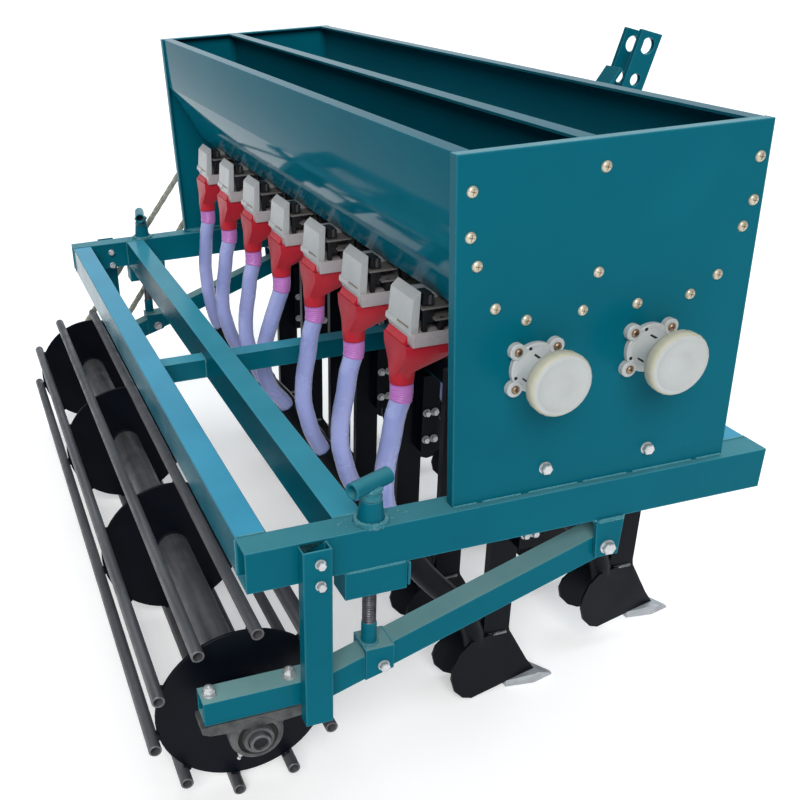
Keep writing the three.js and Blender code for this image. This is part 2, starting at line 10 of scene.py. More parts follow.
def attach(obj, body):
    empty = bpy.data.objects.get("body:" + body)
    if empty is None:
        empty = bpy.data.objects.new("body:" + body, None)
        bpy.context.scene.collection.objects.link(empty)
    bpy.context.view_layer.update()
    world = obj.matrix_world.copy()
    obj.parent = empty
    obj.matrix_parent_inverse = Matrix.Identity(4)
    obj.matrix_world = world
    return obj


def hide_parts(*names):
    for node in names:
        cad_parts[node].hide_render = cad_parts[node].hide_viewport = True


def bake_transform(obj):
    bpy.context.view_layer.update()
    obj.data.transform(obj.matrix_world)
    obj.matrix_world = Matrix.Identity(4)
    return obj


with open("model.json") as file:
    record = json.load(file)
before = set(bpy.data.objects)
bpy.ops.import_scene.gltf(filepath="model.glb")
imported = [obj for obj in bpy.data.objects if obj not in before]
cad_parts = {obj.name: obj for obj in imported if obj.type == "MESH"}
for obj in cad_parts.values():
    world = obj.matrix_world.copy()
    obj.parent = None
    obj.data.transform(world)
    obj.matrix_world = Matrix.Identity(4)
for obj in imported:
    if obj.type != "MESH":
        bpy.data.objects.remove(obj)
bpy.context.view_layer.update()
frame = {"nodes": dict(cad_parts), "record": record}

random.seed(7)
# The parked machine is turned about X; pieces below are laid out in millimetres on the level
# frame (Y from the rear end of the side rails, Z from their top) and then turned with it.
PITCH = math.radians(6.5)
TURN = Matrix.Rotation(PITCH, 4, "X")
PLACE = Matrix.Translation((0, -0.367338, 0.376783)) @ TURN @ Matrix.Scale(0.001, 4)

# ---------------------------------------------------------------- camera
cam_data = bpy.data.cameras.new("camera")
cam = bpy.data.objects.new("camera", cam_data)
bpy.context.scene.collection.objects.link(cam)
cam_data.lens = 45.51
cam_data.sensor_width = 36.0
cam_data.shift_x = 0.2051
cam_data.shift_y = 0.1061
cam_data.clip_end = 1000
spot = PLACE @ Vector((1467.885, -225.187, 571.560))
look = TURN.to_3x3() @ Matrix(((0.2801311, -0.4569252, 0.8442428),
                               (0.9586084, 0.1798325, -0.2207493),
                               (-0.0509564, 0.8711369, 0.4883890)))
cam.matrix_world = Matrix.Translation(spot) @ look.to_4x4()
bpy.context.scene.camera = cam

# ------------------------------------------------------------- materials
def srgb(r, g, b):
    return tuple((c / 12.92 if c <= 0.04045 else ((c + 0.055) / 1.055) ** 2.4) for c in (r / 255, g / 255, b / 255)) + (1,)


class Nodes:
    """A material's node tree, with short names for the nodes that the finishes share."""

    def __init__(self, name):
        self.m = bpy.data.materials.new(name)
        self.m.use_nodes = True
        self.t = self.m.node_tree
        self.b = self.t.nodes["Principled BSDF"]
        self.xyz = self.t.nodes.new("ShaderNodeTexCoord").outputs["Object"]

    def set(self, **v):
        for k, x in v.items():
            self.b.inputs[k.replace("_", " ")].default_value = x
        return self

    def noise(self, scale, detail=3.0, rough=0.55, stretch=None):
        n = self.t.nodes.new("ShaderNodeTexNoise")
        n.inputs["Scale"].default_value = scale
        n.inputs["Detail"].default_value = detail
        n.inputs["Roughness"].default_value = rough
        src = self.xyz
        if stretch:
            mp = self.t.nodes.new("ShaderNodeMapping")
            mp.inputs["Scale"].default_value = stretch
            self.t.links.new(src, mp.inputs["Vector"])
            src = mp.outputs["Vector"]
        self.t.links.new(src, n.inputs["Vector"])
        return n.outputs["Fac"]

    def ramp(self, fac, *stops):
        r = self.t.nodes.new("ShaderNodeValToRGB")
        e = r.color_ramp.elements
        while len(e) < len(stops):
            e.new(0.5)
        for el, (p, c) in zip(e, stops):
            el.position = p
            el.color = c if len(c) == 4 else (*c, 1)
        self.t.links.new(fac, r.inputs["Fac"])
        return r.outputs["Color"]

    def mix(self, fac, a, b, mode="MIX"):
        n = self.t.nodes.new("ShaderNodeMix")
        n.data_type = "RGBA"
        n.blend_type = mode
        for sock, v in ((n.inputs["Factor"], fac), (n.inputs[6], a), (n.inputs[7], b)):
            if isinstance(v, (int, float, tuple)):
                sock.default_value = v
            else:
                self.t.links.new(v, sock)
        return n.outputs[2]

    def math(self, op, a, b=0.0, clamp=False):
        n = self.t.nodes.new("ShaderNodeMath")
        n.operation = op
        n.use_clamp = clamp
        for i, v in enumerate((a, b)):
            if isinstance(v, (int, float)):
                n.inputs[i].default_value = v
            else:
                self.t.links.new(v, n.inputs[i])
        return n.outputs[0]

    def edge(self, radius, gain):
        """1 along convex and concave edges, 0 on flats"""
        bv = self.t.nodes.new("ShaderNodeBevel")
        bv.samples = 3
        bv.inputs["Radius"].default_value = radius
        g = self.t.nodes.new("ShaderNodeNewGeometry")
        d = self.t.nodes.new("ShaderNodeVectorMath")
        d.operation = "DOT_PRODUCT"
        self.t.links.new(bv.outputs[0], d.inputs[0])
        self.t.links.new(g.outputs["True Normal"], d.inputs[1])
        return self.math("MULTIPLY", self.math("SUBTRACT", 1.0, d.outputs["Value"]), gain, clamp=True)

    def up(self):
        """how far a face looks upwards"""
        g = self.t.nodes.new("ShaderNodeNewGeometry")
        s = self.t.nodes.new("ShaderNodeSeparateXYZ")
        self.t.links.new(g.outputs["Normal"], s.inputs[0])
        return s.outputs["Z"]

    def bump(self, height, strength, distance=0.001):
        n = self.t.nodes.new("ShaderNodeBump")
        n.inputs["Strength"].default_value = strength
        n.inputs["Distance"].default_value = distance
        self.t.links.new(height, n.inputs["Height"])
        self.t.links.new(n.outputs["Normal"], self.b.inputs["Normal"])
        return self

    def link(self, out, name):
        self.t.links.new(out, self.b.inputs[name])
        return self


def enamel(name, base, light, dark, rough=(0.16, 0.3), edge_mix=0.55, peel=0.05, spec=0.5, scuff=None, top=None, top_sheen_mix=0.75):
    """Gloss paint: slow colour drift, orange peel, a painted highlight along the edges, and a painted sky reflection on
    upward faces.
    """
    n = Nodes(name).set(Specular_IOR_Level=spec)
    drift = n.ramp(n.noise(5.0, 4), (0.3, dark), (0.7, base))
    edge = n.edge(0.0022, 3.2)
    # painted sky reflection: faces that look up are mixed toward the paler top colour, more the straighter up they face
    if top:
        sky_sheen = n.math("MULTIPLY", n.math("POWER", n.math("MAXIMUM", n.up(), 0.0), 2.0), n.math("ADD", n.math("MULTIPLY", n.noise(9.0, 4), 0.5), top_sheen_mix - 0.25), clamp=True)
        drift = n.mix(sky_sheen, drift, top)
    # painted highlight along the edges: worn is the edge mask broken up by noise, and the lighter second colour is the
    # highlight
    worn = n.math("MULTIPLY", edge, n.math("ADD", n.math("MULTIPLY", n.noise(60.0, 4), 0.8), 0.25))
    col = n.mix(n.math("MULTIPLY", worn, edge_mix), drift, light)
    if scuff:
        chips = n.ramp(n.noise(38.0, 6, 0.7), (0.66, (0, 0, 0, 1)), (0.72, (1, 1, 1, 1)))
        col = n.mix(n.math("MULTIPLY", chips, 0.5), col, scuff)
    n.link(col, "Base Color")
    r = n.ramp(n.noise(14.0, 5), (0.3, (rough[0],) * 3), (0.75, (rough[1],) * 3))
    n.link(r, "Roughness")
    n.bump(n.math("ADD", n.noise(420.0, 2), n.math("MULTIPLY", n.noise(28.0, 2), 1.6)), peel, 0.0012)
    return n.m


def plastic(name, base, dark, rough=0.42, spec=0.5, coat=0.0, grain=240.0, bump=0.05, **more):
    n = Nodes(name).set(Specular_IOR_Level=spec, Coat_Weight=coat, **more)
    c = n.ramp(n.noise(9.0, 5, 0.6), (0.32, dark), (0.68, base))
    n.link(c, "Base Color")
    r = n.ramp(n.noise(40.0, 4), (0.3, (rough * 0.8,) * 3), (0.7, (min(1, rough * 1.25),) * 3))
    n.link(r, "Roughness")
    n.bump(n.noise(grain, 3), bump, 0.0008)
    return n.m


def metal(name, base, dark, rough=0.35, metallic=0.9, stretch=None, scale=60.0, bump=0.12):
    n = Nodes(name).set(Metallic=metallic)
    f = n.noise(scale, 6, 0.65, stretch)
    n.link(n.ramp(f, (0.32, dark), (0.66, base)), "Base Color")
    n.link(n.ramp(n.noise(scale * 0.6, 5), (0.3, (rough * 0.7,) * 3), (0.75, (min(1, rough * 1.5),) * 3)), "Roughness")
    n.bump(n.noise(scale * 4, 4, 0.6, stretch), bump, 0.0009)
    return n.m


# in each enamel the colour after the base is a painted edge highlight, and top is a painted sky reflection on upward
# faces; the teal copies differ in these per part
TEAL, TEAL_DARK = (0.0009, 0.106, 0.151, 1), (0.0008, 0.090, 0.131, 1)
teal = enamel("teal_enamel", TEAL, (0.12, 0.42, 0.54, 1), TEAL_DARK, (0.16, 0.3), spec=0.04, top=(0.065, 0.26, 0.31, 1), top_sheen_mix=0.75)
teal_sheet = enamel("teal_enamel_sheet", TEAL, (0.14, 0.44, 0.56, 1), TEAL_DARK, (0.04, 0.09), peel=0.008, spec=0.045)
teal_panel = enamel("teal_enamel_panel", TEAL, (0.14, 0.44, 0.56, 1), TEAL_DARK, (0.06, 0.12), peel=0.012, spec=0.012)
teal_mid = enamel("teal_enamel_mid", TEAL, (0.16, 0.46, 0.6, 1), TEAL_DARK, (0.14, 0.26), spec=0.06, top=(0.06, 0.34, 0.46, 1), top_sheen_mix=0.8)
teal_arm = enamel("teal_enamel_arm", TEAL, (0.12, 0.42, 0.54, 1), TEAL_DARK, (0.16, 0.3), spec=0.04, top=(0.21, 0.37, 0.36, 1), top_sheen_mix=0.8)
teal_tube = enamel("teal_enamel_tube", TEAL, (0.2, 0.52, 0.7, 1), TEAL_DARK, (0.12, 0.24), spec=0.12, top=(0.045, 0.32, 0.50, 1), top_sheen_mix=0.9)
teal_rough = enamel("teal_enamel_weld", (0.008, 0.15, 0.19, 1), (0.15, 0.40, 0.46, 1), (0.002, 0.08, 0.11, 1), (0.2, 0.36), 0.8, 0.3, 0.3,
                    top=(0.10, 0.30, 0.36, 1))
black = enamel("black_enamel", (0.0024, 0.0040, 0.0075, 1), (0.05, 0.058, 0.07, 1), (0.0014, 0.0022, 0.0045, 1), (0.28, 0.44), 0.3, 0.08, 0.09,
               (0.016, 0.017, 0.019, 1))
bare = metal("worn_share_steel", (0.42, 0.45, 0.48, 1), (0.24, 0.25, 0.26, 1), 0.38, 0.45, (1, 0.15, 1), 90.0, 0.2)
bead = metal("weld_bead", (0.34, 0.35, 0.36, 1), (0.10, 0.10, 0.105, 1), 0.4, 0.7, None, 140.0, 0.35)
rodm = metal("worn_bar_steel", (0.165, 0.165, 0.175, 1), (0.075, 0.075, 0.085, 1), 0.5, 0.55, (0.06, 1, 1), 70.0, 0.25)
iron = metal("dark_casting", (0.10, 0.105, 0.105, 1), (0.03, 0.032, 0.034, 1), 0.6, 0.25, None, 45.0, 0.5)
thread = metal("screw_thread", (0.12, 0.12, 0.14, 1), (0.05, 0.05, 0.06, 1), 0.4, 0.8, None, 120.0, 0.2)
zinc = metal("bright_zinc", (0.60, 0.61, 0.63, 1), (0.42, 0.42, 0.42, 1), 0.3, 0.6, None, 70.0, 0.12)
yellow = metal("yellow_zinc", (0.60, 0.56, 0.45, 1), (0.42, 0.37, 0.27, 1), 0.34, 0.5, None, 60.0, 0.12)
chain_steel = metal("pale_chain_steel", (0.50, 0.50, 0.42, 1), (0.30, 0.30, 0.24, 1), 0.4, 0.5, None, 90.0, 0.15)
steel = metal("shaft_steel", (0.42, 0.40, 0.36, 1), (0.2, 0.18, 0.15, 1), 0.36, 0.9, None, 90.0, 0.15)
# near-black painted shade, laid as thin discs, rings and slabs in bores, slots and screw recesses where only shade
# falls
hole_shade = plastic("painted_hole_shade", (0.004, 0.004, 0.005, 1), (0.002, 0.002, 0.003, 1), 0.8)
white = plastic("housing_white", (0.45, 0.46, 0.46, 1), (0.37, 0.38, 0.39, 1), 0.38, 0.5, 0.1)
cupm = plastic("cup_clear_white", (0.50, 0.43, 0.43, 1), (0.42, 0.35, 0.36, 1), 0.3, 0.5, 0.2, Subsurface_Weight=0.15)
red = plastic("funnel_red", (0.50, 0.017, 0.034, 1), (0.42, 0.012, 0.025, 1), 0.4, 0.3, 0.0)
pink = plastic("collar_pink", (0.52, 0.20, 0.55, 1), (0.44, 0.15, 0.47, 1), 0.32, 0.5, 0.2)
lever = plastic("lever_black", (0.012, 0.012, 0.014, 1), (0.007, 0.007, 0.009, 1), 0.4)
flap = plastic("shutter_grey", (0.20, 0.185, 0.175, 1), (0.13, 0.12, 0.115, 1), 0.45)
hose = plastic("cloudy_hose", (0.33, 0.37, 0.68, 1), (0.25, 0.30, 0.60, 1), 0.24, 0.5, 0.3, 60.0, 0.03, Subsurface_Weight=0.12)
cream = plastic("knob_cream", (0.43, 0.45, 0.455, 1), (0.375, 0.39, 0.385, 1), 0.42, 0.35)
rimm = plastic("knob_rim_cream", (0.46, 0.45, 0.36, 1), (0.39, 0.375, 0.29, 1), 0.42, 0.35)
brown = metal("brown_screw", (0.38, 0.27, 0.18, 1), (0.2, 0.13, 0.08, 1), 0.4, 0.85)

# --------------------------------------------------------------- builders
BODY = {n: b for b, ns in frame["record"]["behaviour"]["bodies"].items() for n in ns}
SLOT = {s["node"]: s["material_slot"] for s in frame["record"]["subparts"]}


def link(o):
    bpy.context.scene.collection.objects.link(o)
    return o


class Piece:
    """Collects solids in one mesh, in millimetres on the level frame, each with a material."""

    def __init__(self, name, *mats):
        self.name, self.mats, self.bm = name, mats, bmesh.new()

    def _paint(self, faces, mat):
        i = self.mats.index(mat)
        for f in faces:
            f.material_index = i
            f.smooth = True

    def shell(self, rings, mat, caps=(True, True), closed=False):
        """Rings of points joined one to the next; each ring has the same count."""
        vs = [[self.bm.verts.new(p) for p in r] for r in rings]
        fs = []
        n = len(vs[0])
        pairs = list(zip(vs, vs[1:])) + ([(vs[-1], vs[0])] if closed else [])
        for a, b in pairs:
            for i in range(n):
                j = (i + 1) % n
                fs.append(self.bm.faces.new((a[i], a[j], b[j], b[i])))
        if not closed:
            if caps[0]:
                fs.append(self.bm.faces.new(vs[0][::-1]))
            if caps[1]:
                fs.append(self.bm.faces.new(vs[-1]))
        self._paint(fs, mat)
        return fs

    def box(self, x0, x1, y0, y1, z0, z1, mat):
        c = lambda z: [(x0, y0, z), (x1, y0, z), (x1, y1, z), (x0, y1, z)]
        self.shell([c(z0), c(z1)], mat)

    def prism(self, outline, x0, x1, mat):
        """(y, z) outline drawn out along X"""
        area = sum(a[0] * b[1] - b[0] * a[1] for a, b in zip(outline, outline[1:] + outline[:1]))
        pts = outline if area > 0 else outline[::-1]
        self.shell([[(x0, y, z) for y, z in pts], [(x1, y, z) for y, z in pts]], mat)

    def turned(self, at, axis, profile, mat, n=24, phase=0.0):
        """(distance along axis, radius) profile turned about axis"""
        a = Vector(axis).normalized()
        u = a.orthogonal().normalized()
        v = a.cross(u)
        at = Vector(at)
        rings = []
        for d, r in profile:
            rings.append([at + a * d + (u * math.cos(t) + v * math.sin(t)) * max(r, 0.01)
                          for t in ((2 * math.pi * i) / n + phase for i in range(n))])
        self.shell(rings, mat)

    def pipe(self, at, axis, length, r, bore, mat, dark, n=24, depth=40):
        """Round tube with both ends open, bored depth deep and closed there; the dark argument is not used"""
        self.turned(at, axis, [(depth, 0.02), (depth, bore), (0.6, bore), (0, bore + 0.4), (0, r - 0.5), (0.5, r), (length - 0.5, r),
                               (length, r - 0.5), (length, bore + 0.4), (length - 0.6, bore), (length - depth, bore), (length - depth, 0.02)], mat, n)

    def bolt(self, at, axis, af, mat, head=None, washer=None, dome=0.0, turn=0.2):
        """Hexagon head or nut on a washer, standing on a face at `at`"""
        head = head or af * 0.6
        a = Vector(axis).normalized()
        w = washer or af * 0.72
        self.turned(at, axis, [(-0.3, 0), (-0.3, w), (1.3, w), (1.6, w - 0.5), (1.6, 0)], mat, 20)
        r = af / math.sqrt(3)
        self.turned(Vector(at) + a * 1.4, axis, [(0, 0), (0, r), (head * 0.82, r), (head, r * 0.84), (head, 0)], mat, 6, turn)
        if dome:
            self.turned(Vector(at) + a * (1.4 + head), axis, [(-0.5, r * 0.8), (dome * 0.5, r * 0.72), (dome * 0.85, r * 0.45), (dome, 0)], mat, 14)

    def pan(self, at, axis, r, mat, dark):
        """Cross-head screw"""
        a = Vector(axis).normalized()
        self.turned(at, axis, [(-0.3, 0), (-0.3, r), (1.0, r * 0.98), (2.2, r * 0.82), (3.0, r * 0.5), (3.15, 0)], mat, 18)
        u = a.orthogonal().normalized()
        # the cross recess is a thin slab in the darker colour: painted shade
        for k in (0, 1):
            d = (Matrix.Rotation(0.6 + k * math.pi / 2, 3, a) @ u)
            s = a.cross(d) * r * 0.09
            c = Vector(at) + a * 3.25
            p = [c + d * r * 0.5 + s, c + d * r * 0.5 - s, c - d * r * 0.5 - s, c - d * r * 0.5 + s]
            self.shell([[q - a * 0.7 for q in p], p], dark)

    def weld(self, a, b, r, mat, step=3.6, n=7):
        """Rippled bead along a line"""
        a, b = Vector(a), Vector(b)
        d = b - a
        length = d.length
        k = max(3, int(length / step))
        d.normalize()
        u = d.orthogonal().normalized()
        v = d.cross(u)
        rings = []
        for i in range(2 * k + 1):
            t = i / (2 * k)
            rr = r * (0.78 + (0.30 if i % 2 else 0.0) + 0.14 * random.random()) * (0.35 if i in (0, 2 * k) else 1)
            c = a + d * length * t + u * (random.random() - 0.5) * r * 0.3
            rings.append([c + (u * math.cos(q) + v * math.sin(q)) * rr for q in (2 * math.pi * j / n for j in range(n))])
        self.shell(rings, mat)

    def weld_ring(self, at, axis, big, r, mat, wobble=0.18):
        """Rippled bead all the way round"""
        a = Vector(axis).normalized()
        u = a.orthogonal().normalized()
        v = a.cross(u)
        k = int(2 * math.pi * big / 1.7)
        rings = []
        for i in range(k):
            t = 2 * math.pi * i / k
            d = u * math.cos(t) + v * math.sin(t)
            rr = r * (0.88 + (0.14 if i % 2 else 0.0) + wobble * random.random())
            c = Vector(at) + d * (big + r * 0.3 * (random.random() - 0.5))
            rings.append([c + (d * math.cos(q) + a * math.sin(q)) * rr for q in (2 * math.pi * j / 7 for j in range(7))])
        self.shell(rings, mat, closed=True)

    def weld_path(self, pts, r, mat, step=3.6):
        for a, b in zip(pts, pts[1:]):
            self.weld(a, b, r, mat, step)

    def done(self, body, slot_name, *replaced, bevel=0.0, segs=2, sharp=38, place=True):
        bm = self.bm
        bmesh.ops.recalc_face_normals(bm, faces=bm.faces)
        for e in bm.edges:
            e.smooth = len(e.link_faces) != 2 or e.calc_face_angle(0) < math.radians(sharp)
        me = bpy.data.meshes.new(self.name)
        bm.to_mesh(me)
        bm.free()
        if place:
            me.transform(PLACE)
        for m in self.mats:
            me.materials.append(m)
        o = link(bpy.data.objects.new(self.name, me))
        if bevel:
            freeze(o, bevel, segs, sharp)
        if isinstance(body, str):
            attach(o, body)
        else:
            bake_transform(o)
        if replaced:
            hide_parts(*replaced)
        return o


def freeze(o, width, segs, sharp):
    b = o.modifiers.new("edges", "BEVEL")
    b.width, b.segments, b.limit_method, b.angle_limit = width / 1000, segs, "ANGLE", math.radians(sharp)
    b.use_clamp_overlap = True
    w = o.modifiers.new("normals", "WEIGHTED_NORMAL")
    w.keep_sharp = True
    dg = bpy.context.evaluated_depsgraph_get()
    me = bpy.data.meshes.new_from_object(o.evaluated_get(dg), depsgraph=dg)
    o.modifiers.clear()
    o.data = me


def soften(node, mats, width=1.2, segs=2, sharp=38, pick=None):
    """The CAD node with rounded edges"""
    src = frame["nodes"][node]
    me = src.data.copy()
    bm = bmesh.new()
    bm.from_mesh(me)
    bmesh.ops.remove_doubles(bm, verts=bm.verts, dist=2e-6)
    bmesh.ops.dissolve_limit(bm, angle_limit=math.radians(0.8), verts=bm.verts, edges=bm.edges)
    for e in bm.edges:
        e.smooth = len(e.link_faces) != 2 or e.calc_face_angle(0) < math.radians(sharp)
    inv = PLACE.inverted()
    for f in bm.faces:
        f.smooth = True
        f.material_index = pick(inv @ f.calc_center_median()) if pick else 0
    me.materials.clear()
    for m in mats:
        me.materials.append(m)
    bm.to_mesh(me)
    bm.free()
    o = link(bpy.data.objects.new("look_" + node, me))
    freeze(o, width, segs, sharp)
    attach(o, BODY[node])
    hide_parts(node)
    return o


SIDES = (("right", 1), ("left", -1))

# ------------------------------------------------------------ painted frame
# the cross tubes, the middle tube and the arms take teal copies with their own painted top reflection and edge
# highlight
for node in ("side_rail_right", "side_rail_left", "rear_cross_tube", "middle_cross_and_spine", "front_cross_tube"):
    soften(node, [teal_tube if node in ("rear_cross_tube", "front_cross_tube") else teal_mid if "middle" in node else teal], 2.2, 3)
for node in ("guide_bar_right", "guide_bar_left"):
    soften(node, [teal], 1.6, 2)
for node in ("roller_arm_right", "roller_arm_left", "arm_pivot_bracket_right", "arm_pivot_bracket_left", "screw_nut_box_right", "screw_nut_box_left",
             "top_link_mast", "lower_hitch_right", "lower_hitch_left"):
    soften(node, [teal_arm if "roller_arm" in node else teal], 1.3, 2)
for node in ("hopper_end_plate_right", "hopper_end_plate_left"):
    soften(node, [teal], 0.9, 2)
soften("hopper_bin", [teal_panel, teal_sheet], 0.7, 2, pick=lambda q: 1 if q.z < 287 else 0)

# ------------------------------------------------------------------ openers
INF = 1e9
rear_rows, front_rows = [3, 2, 1, 0, -1, -2, -3], [2.5, 1.5, 0.5, -0.5, -1.5, -2.5]
rear_x = [r * 150 if r else -25 for r in rear_rows]
front_x = [r * 150 for r in front_rows]
REAR_Y0, FRONT_Y0, LIFT = 387.5, 640.5, 7.0


def share_pick(y0, lift):
    return lambda p: 1 if (p.z - lift < -416.2 and p.y - y0 > 34) else 0


soften("rear_opener_gang", [black, bare], 1.1, 2, 40, share_pick(REAR_Y0, 0))
soften("front_opener_gang", [black, bare], 1.1, 2, 40, share_pick(FRONT_Y0, LIFT))

for name, xs, y0, lift in (("rear", rear_x, REAR_Y0, 0.0), ("front", front_x, FRONT_Y0, LIFT)):
    p = Piece(f"{name}_opener_welds", bead, black, zinc)
    for x in xs:
        for s in (1, -1):
            # wings are welded to the shank along their upper edges
            p.weld((x + s * 7, y0 + 6, -331 + lift), (x + s * 7, y0 + 36, -331 + lift), 2.3, bead)
            p.weld((x + s * 6.6, y0 + 2, -330 + lift), (x + s * 6.6, y0 + 2, -352 + lift), 1.8, bead)
        p.weld((x, y0 - 9, -322 + lift), (x, y0 + 1, -312 + lift), 3.0, black)
        # share bolt heads under the nose
        p.turned((x, y0 + 62, -418.2 + lift), (0, 0, 1), [(-1, 0), (-1, 5.5), (1.6, 5), (2.4, 0)], zinc, 14)
    p.done("frame", "black_paint")

# holders: bolts through the blocks below the rear tube, U-bolts round the front tube
p = Piece("rear_holder_bolts", zinc, black, steel)
for x in rear_x:
    for y in (424.5, 438):
        for z in (-112, -158):
            p.bolt((x + 26, y, z), (1, 0, 0), 9, zinc, 5.5)
            p.bolt((x - 26, y, z), (-1, 0, 0), 9, zinc, 5.5)
    for s in (1, -1):
        if x + s * 19 > 15 and x + s * 19 < 52:
            continue
        p.bolt((x + s * 19, 427.3, -23), (0, -1, 0), 12, zinc, 6)
p.done("frame", "zinc_plate")
p = Piece("front_holder_bolts", zinc, black, steel)
for x in front_x:
    for z in (-57, 8):
        for s in (1, -1):
            # each U-bolt leg runs back over or under the tube
            p.turned((x + s * 19, 598, z), (0, 1, 0), [(0, 0), (0, 4), (97, 4), (97.8, 3.2), (97.8, 0)], steel, 12)
            p.bolt((x + s * 19, 688.6, z), (0, 1, 0), 13, zinc, 6.5)
    for s in (1, -1):
        p.turned((x + s * 19, 598, -61), (0, 0, 1), [(0, 0), (0, 4), (73, 4), (73, 0)], steel, 12)
p.done("frame", "zinc_plate")

# -------------------------------------------------------------------- hoses
def spline(pts, per=7):
    """Centripetal curve through the points"""
    P = [Vector(p) for p in pts]
    P = [P[0] * 2 - P[1]] + P + [P[-1] * 2 - P[-2]]
    out = []
    for i in range(1, len(P) - 2):
        p0, p1, p2, p3 = P[i - 1:i + 3]
        t = [0.0]
        for a, b in ((p0, p1), (p1, p2), (p2, p3)):
            t.append(t[-1] + max((b - a).length, 1e-6) ** 0.5)
        for k in range(per):
            u = t[1] + (t[2] - t[1]) * k / per
            f = lambda a, b, ta, tb: a * ((tb - u) / (tb - ta)) + b * ((u - ta) / (tb - ta))
            a1, a2, a3 = f(p0, p1, t[0], t[1]), f(p1, p2, t[1], t[2]), f(p2, p3, t[2], t[3])
            b1, b2 = f(a1, a2, t[0], t[2]), f(a2, a3, t[1], t[3])
            out.append(f(b1, b2, t[1], t[2]))
    return out + [P[-2]]


def tube_rings(path, radius, n=20):
    rings = []
    for i, c in enumerate(path):
        d = (path[min(i + 1, len(path) - 1)] - path[max(i - 1, 0)]).normalized()
        u = Vector((1, 0, 0))
        u = (u - d * u.dot(d)).normalized()
        v = d.cross(u)
        r = radius(i) if callable(radius) else radius
        rings.append([c + (u * math.cos(q) + v * math.sin(q)) * r for q in (2 * math.pi * j / n for j in range(n))])
    return rings


SPOUT_Z = 81
END = [(256, -146), (268, -168)]
REAR = {"usual": [(245, 37), (240, 4), (235, -22), (232.5, -48), (233, -72), (238, -96), (245, -122)],
        "middle": [(244, 34), (233, 0), (223, -38), (221, -72), (227, -100), (239, -125)],
        "far": [(247, 37), (243, 4), (240, -26), (241, -60), (244, -92), (249, -122)]}
FRONT = [(514, 80), (514.1, 62), (508, 20), (500, -25), (497, -65), (500, -100), (508, -130), (521.5, -161)]


def hose_piece(name, line, x0, x1, node):
    pts = [(x0 + (x1 - x0) * min(1, max(0, (i - 1) / (len(line) - 3))), y, z) for i, (y, z) in enumerate(line)]
    path = spline(pts, 8)
    p = Piece(name, hose, pink)
    # ribbed collar where the hose is pushed on to the spout
    top = [q for q in path if q.z > SPOUT_Z - 27]
    fine = []
    for k in range(29):
        t = k / 28 * (len(top) - 1)
        i = min(int(t), len(top) - 2)
        fine.append(top[i].lerp(top[i + 1], t - i))
    ribs = lambda i: 13.2 if i in (0, 28) else (14.3 if i % 4 in (1, 2) else 13.7)
    p.shell(tube_rings(fine, ribs, 24), pink)
    rest = [fine[-1].lerp(fine[-2], 0.5)] + path[len(top):]
    p.shell(tube_rings(rest, lambda i: 12.9 + 0.12 * math.sin(i * 1.3), 24), hose)
    p.done("frame", "clear_hose", node)


for i, r in enumerate(rear_rows):
    kind = "middle" if r == 0 else "far" if r == -3 else "usual"
    hose_piece(f"seed_hose_look_{i + 1}", [(252, 80), (252, 62)] + REAR[kind] + END, r * 150, rear_x[i], f"seed_hose_{i + 1}")
for i, r in enumerate(front_rows):
    hose_piece(f"fertiliser_hose_look_{i + 1}", FRONT, r * 150, r * 150, f"fertiliser_hose_{i + 1}")

# ------------------------------------------------------------------- meters
FLOOR = 187.9


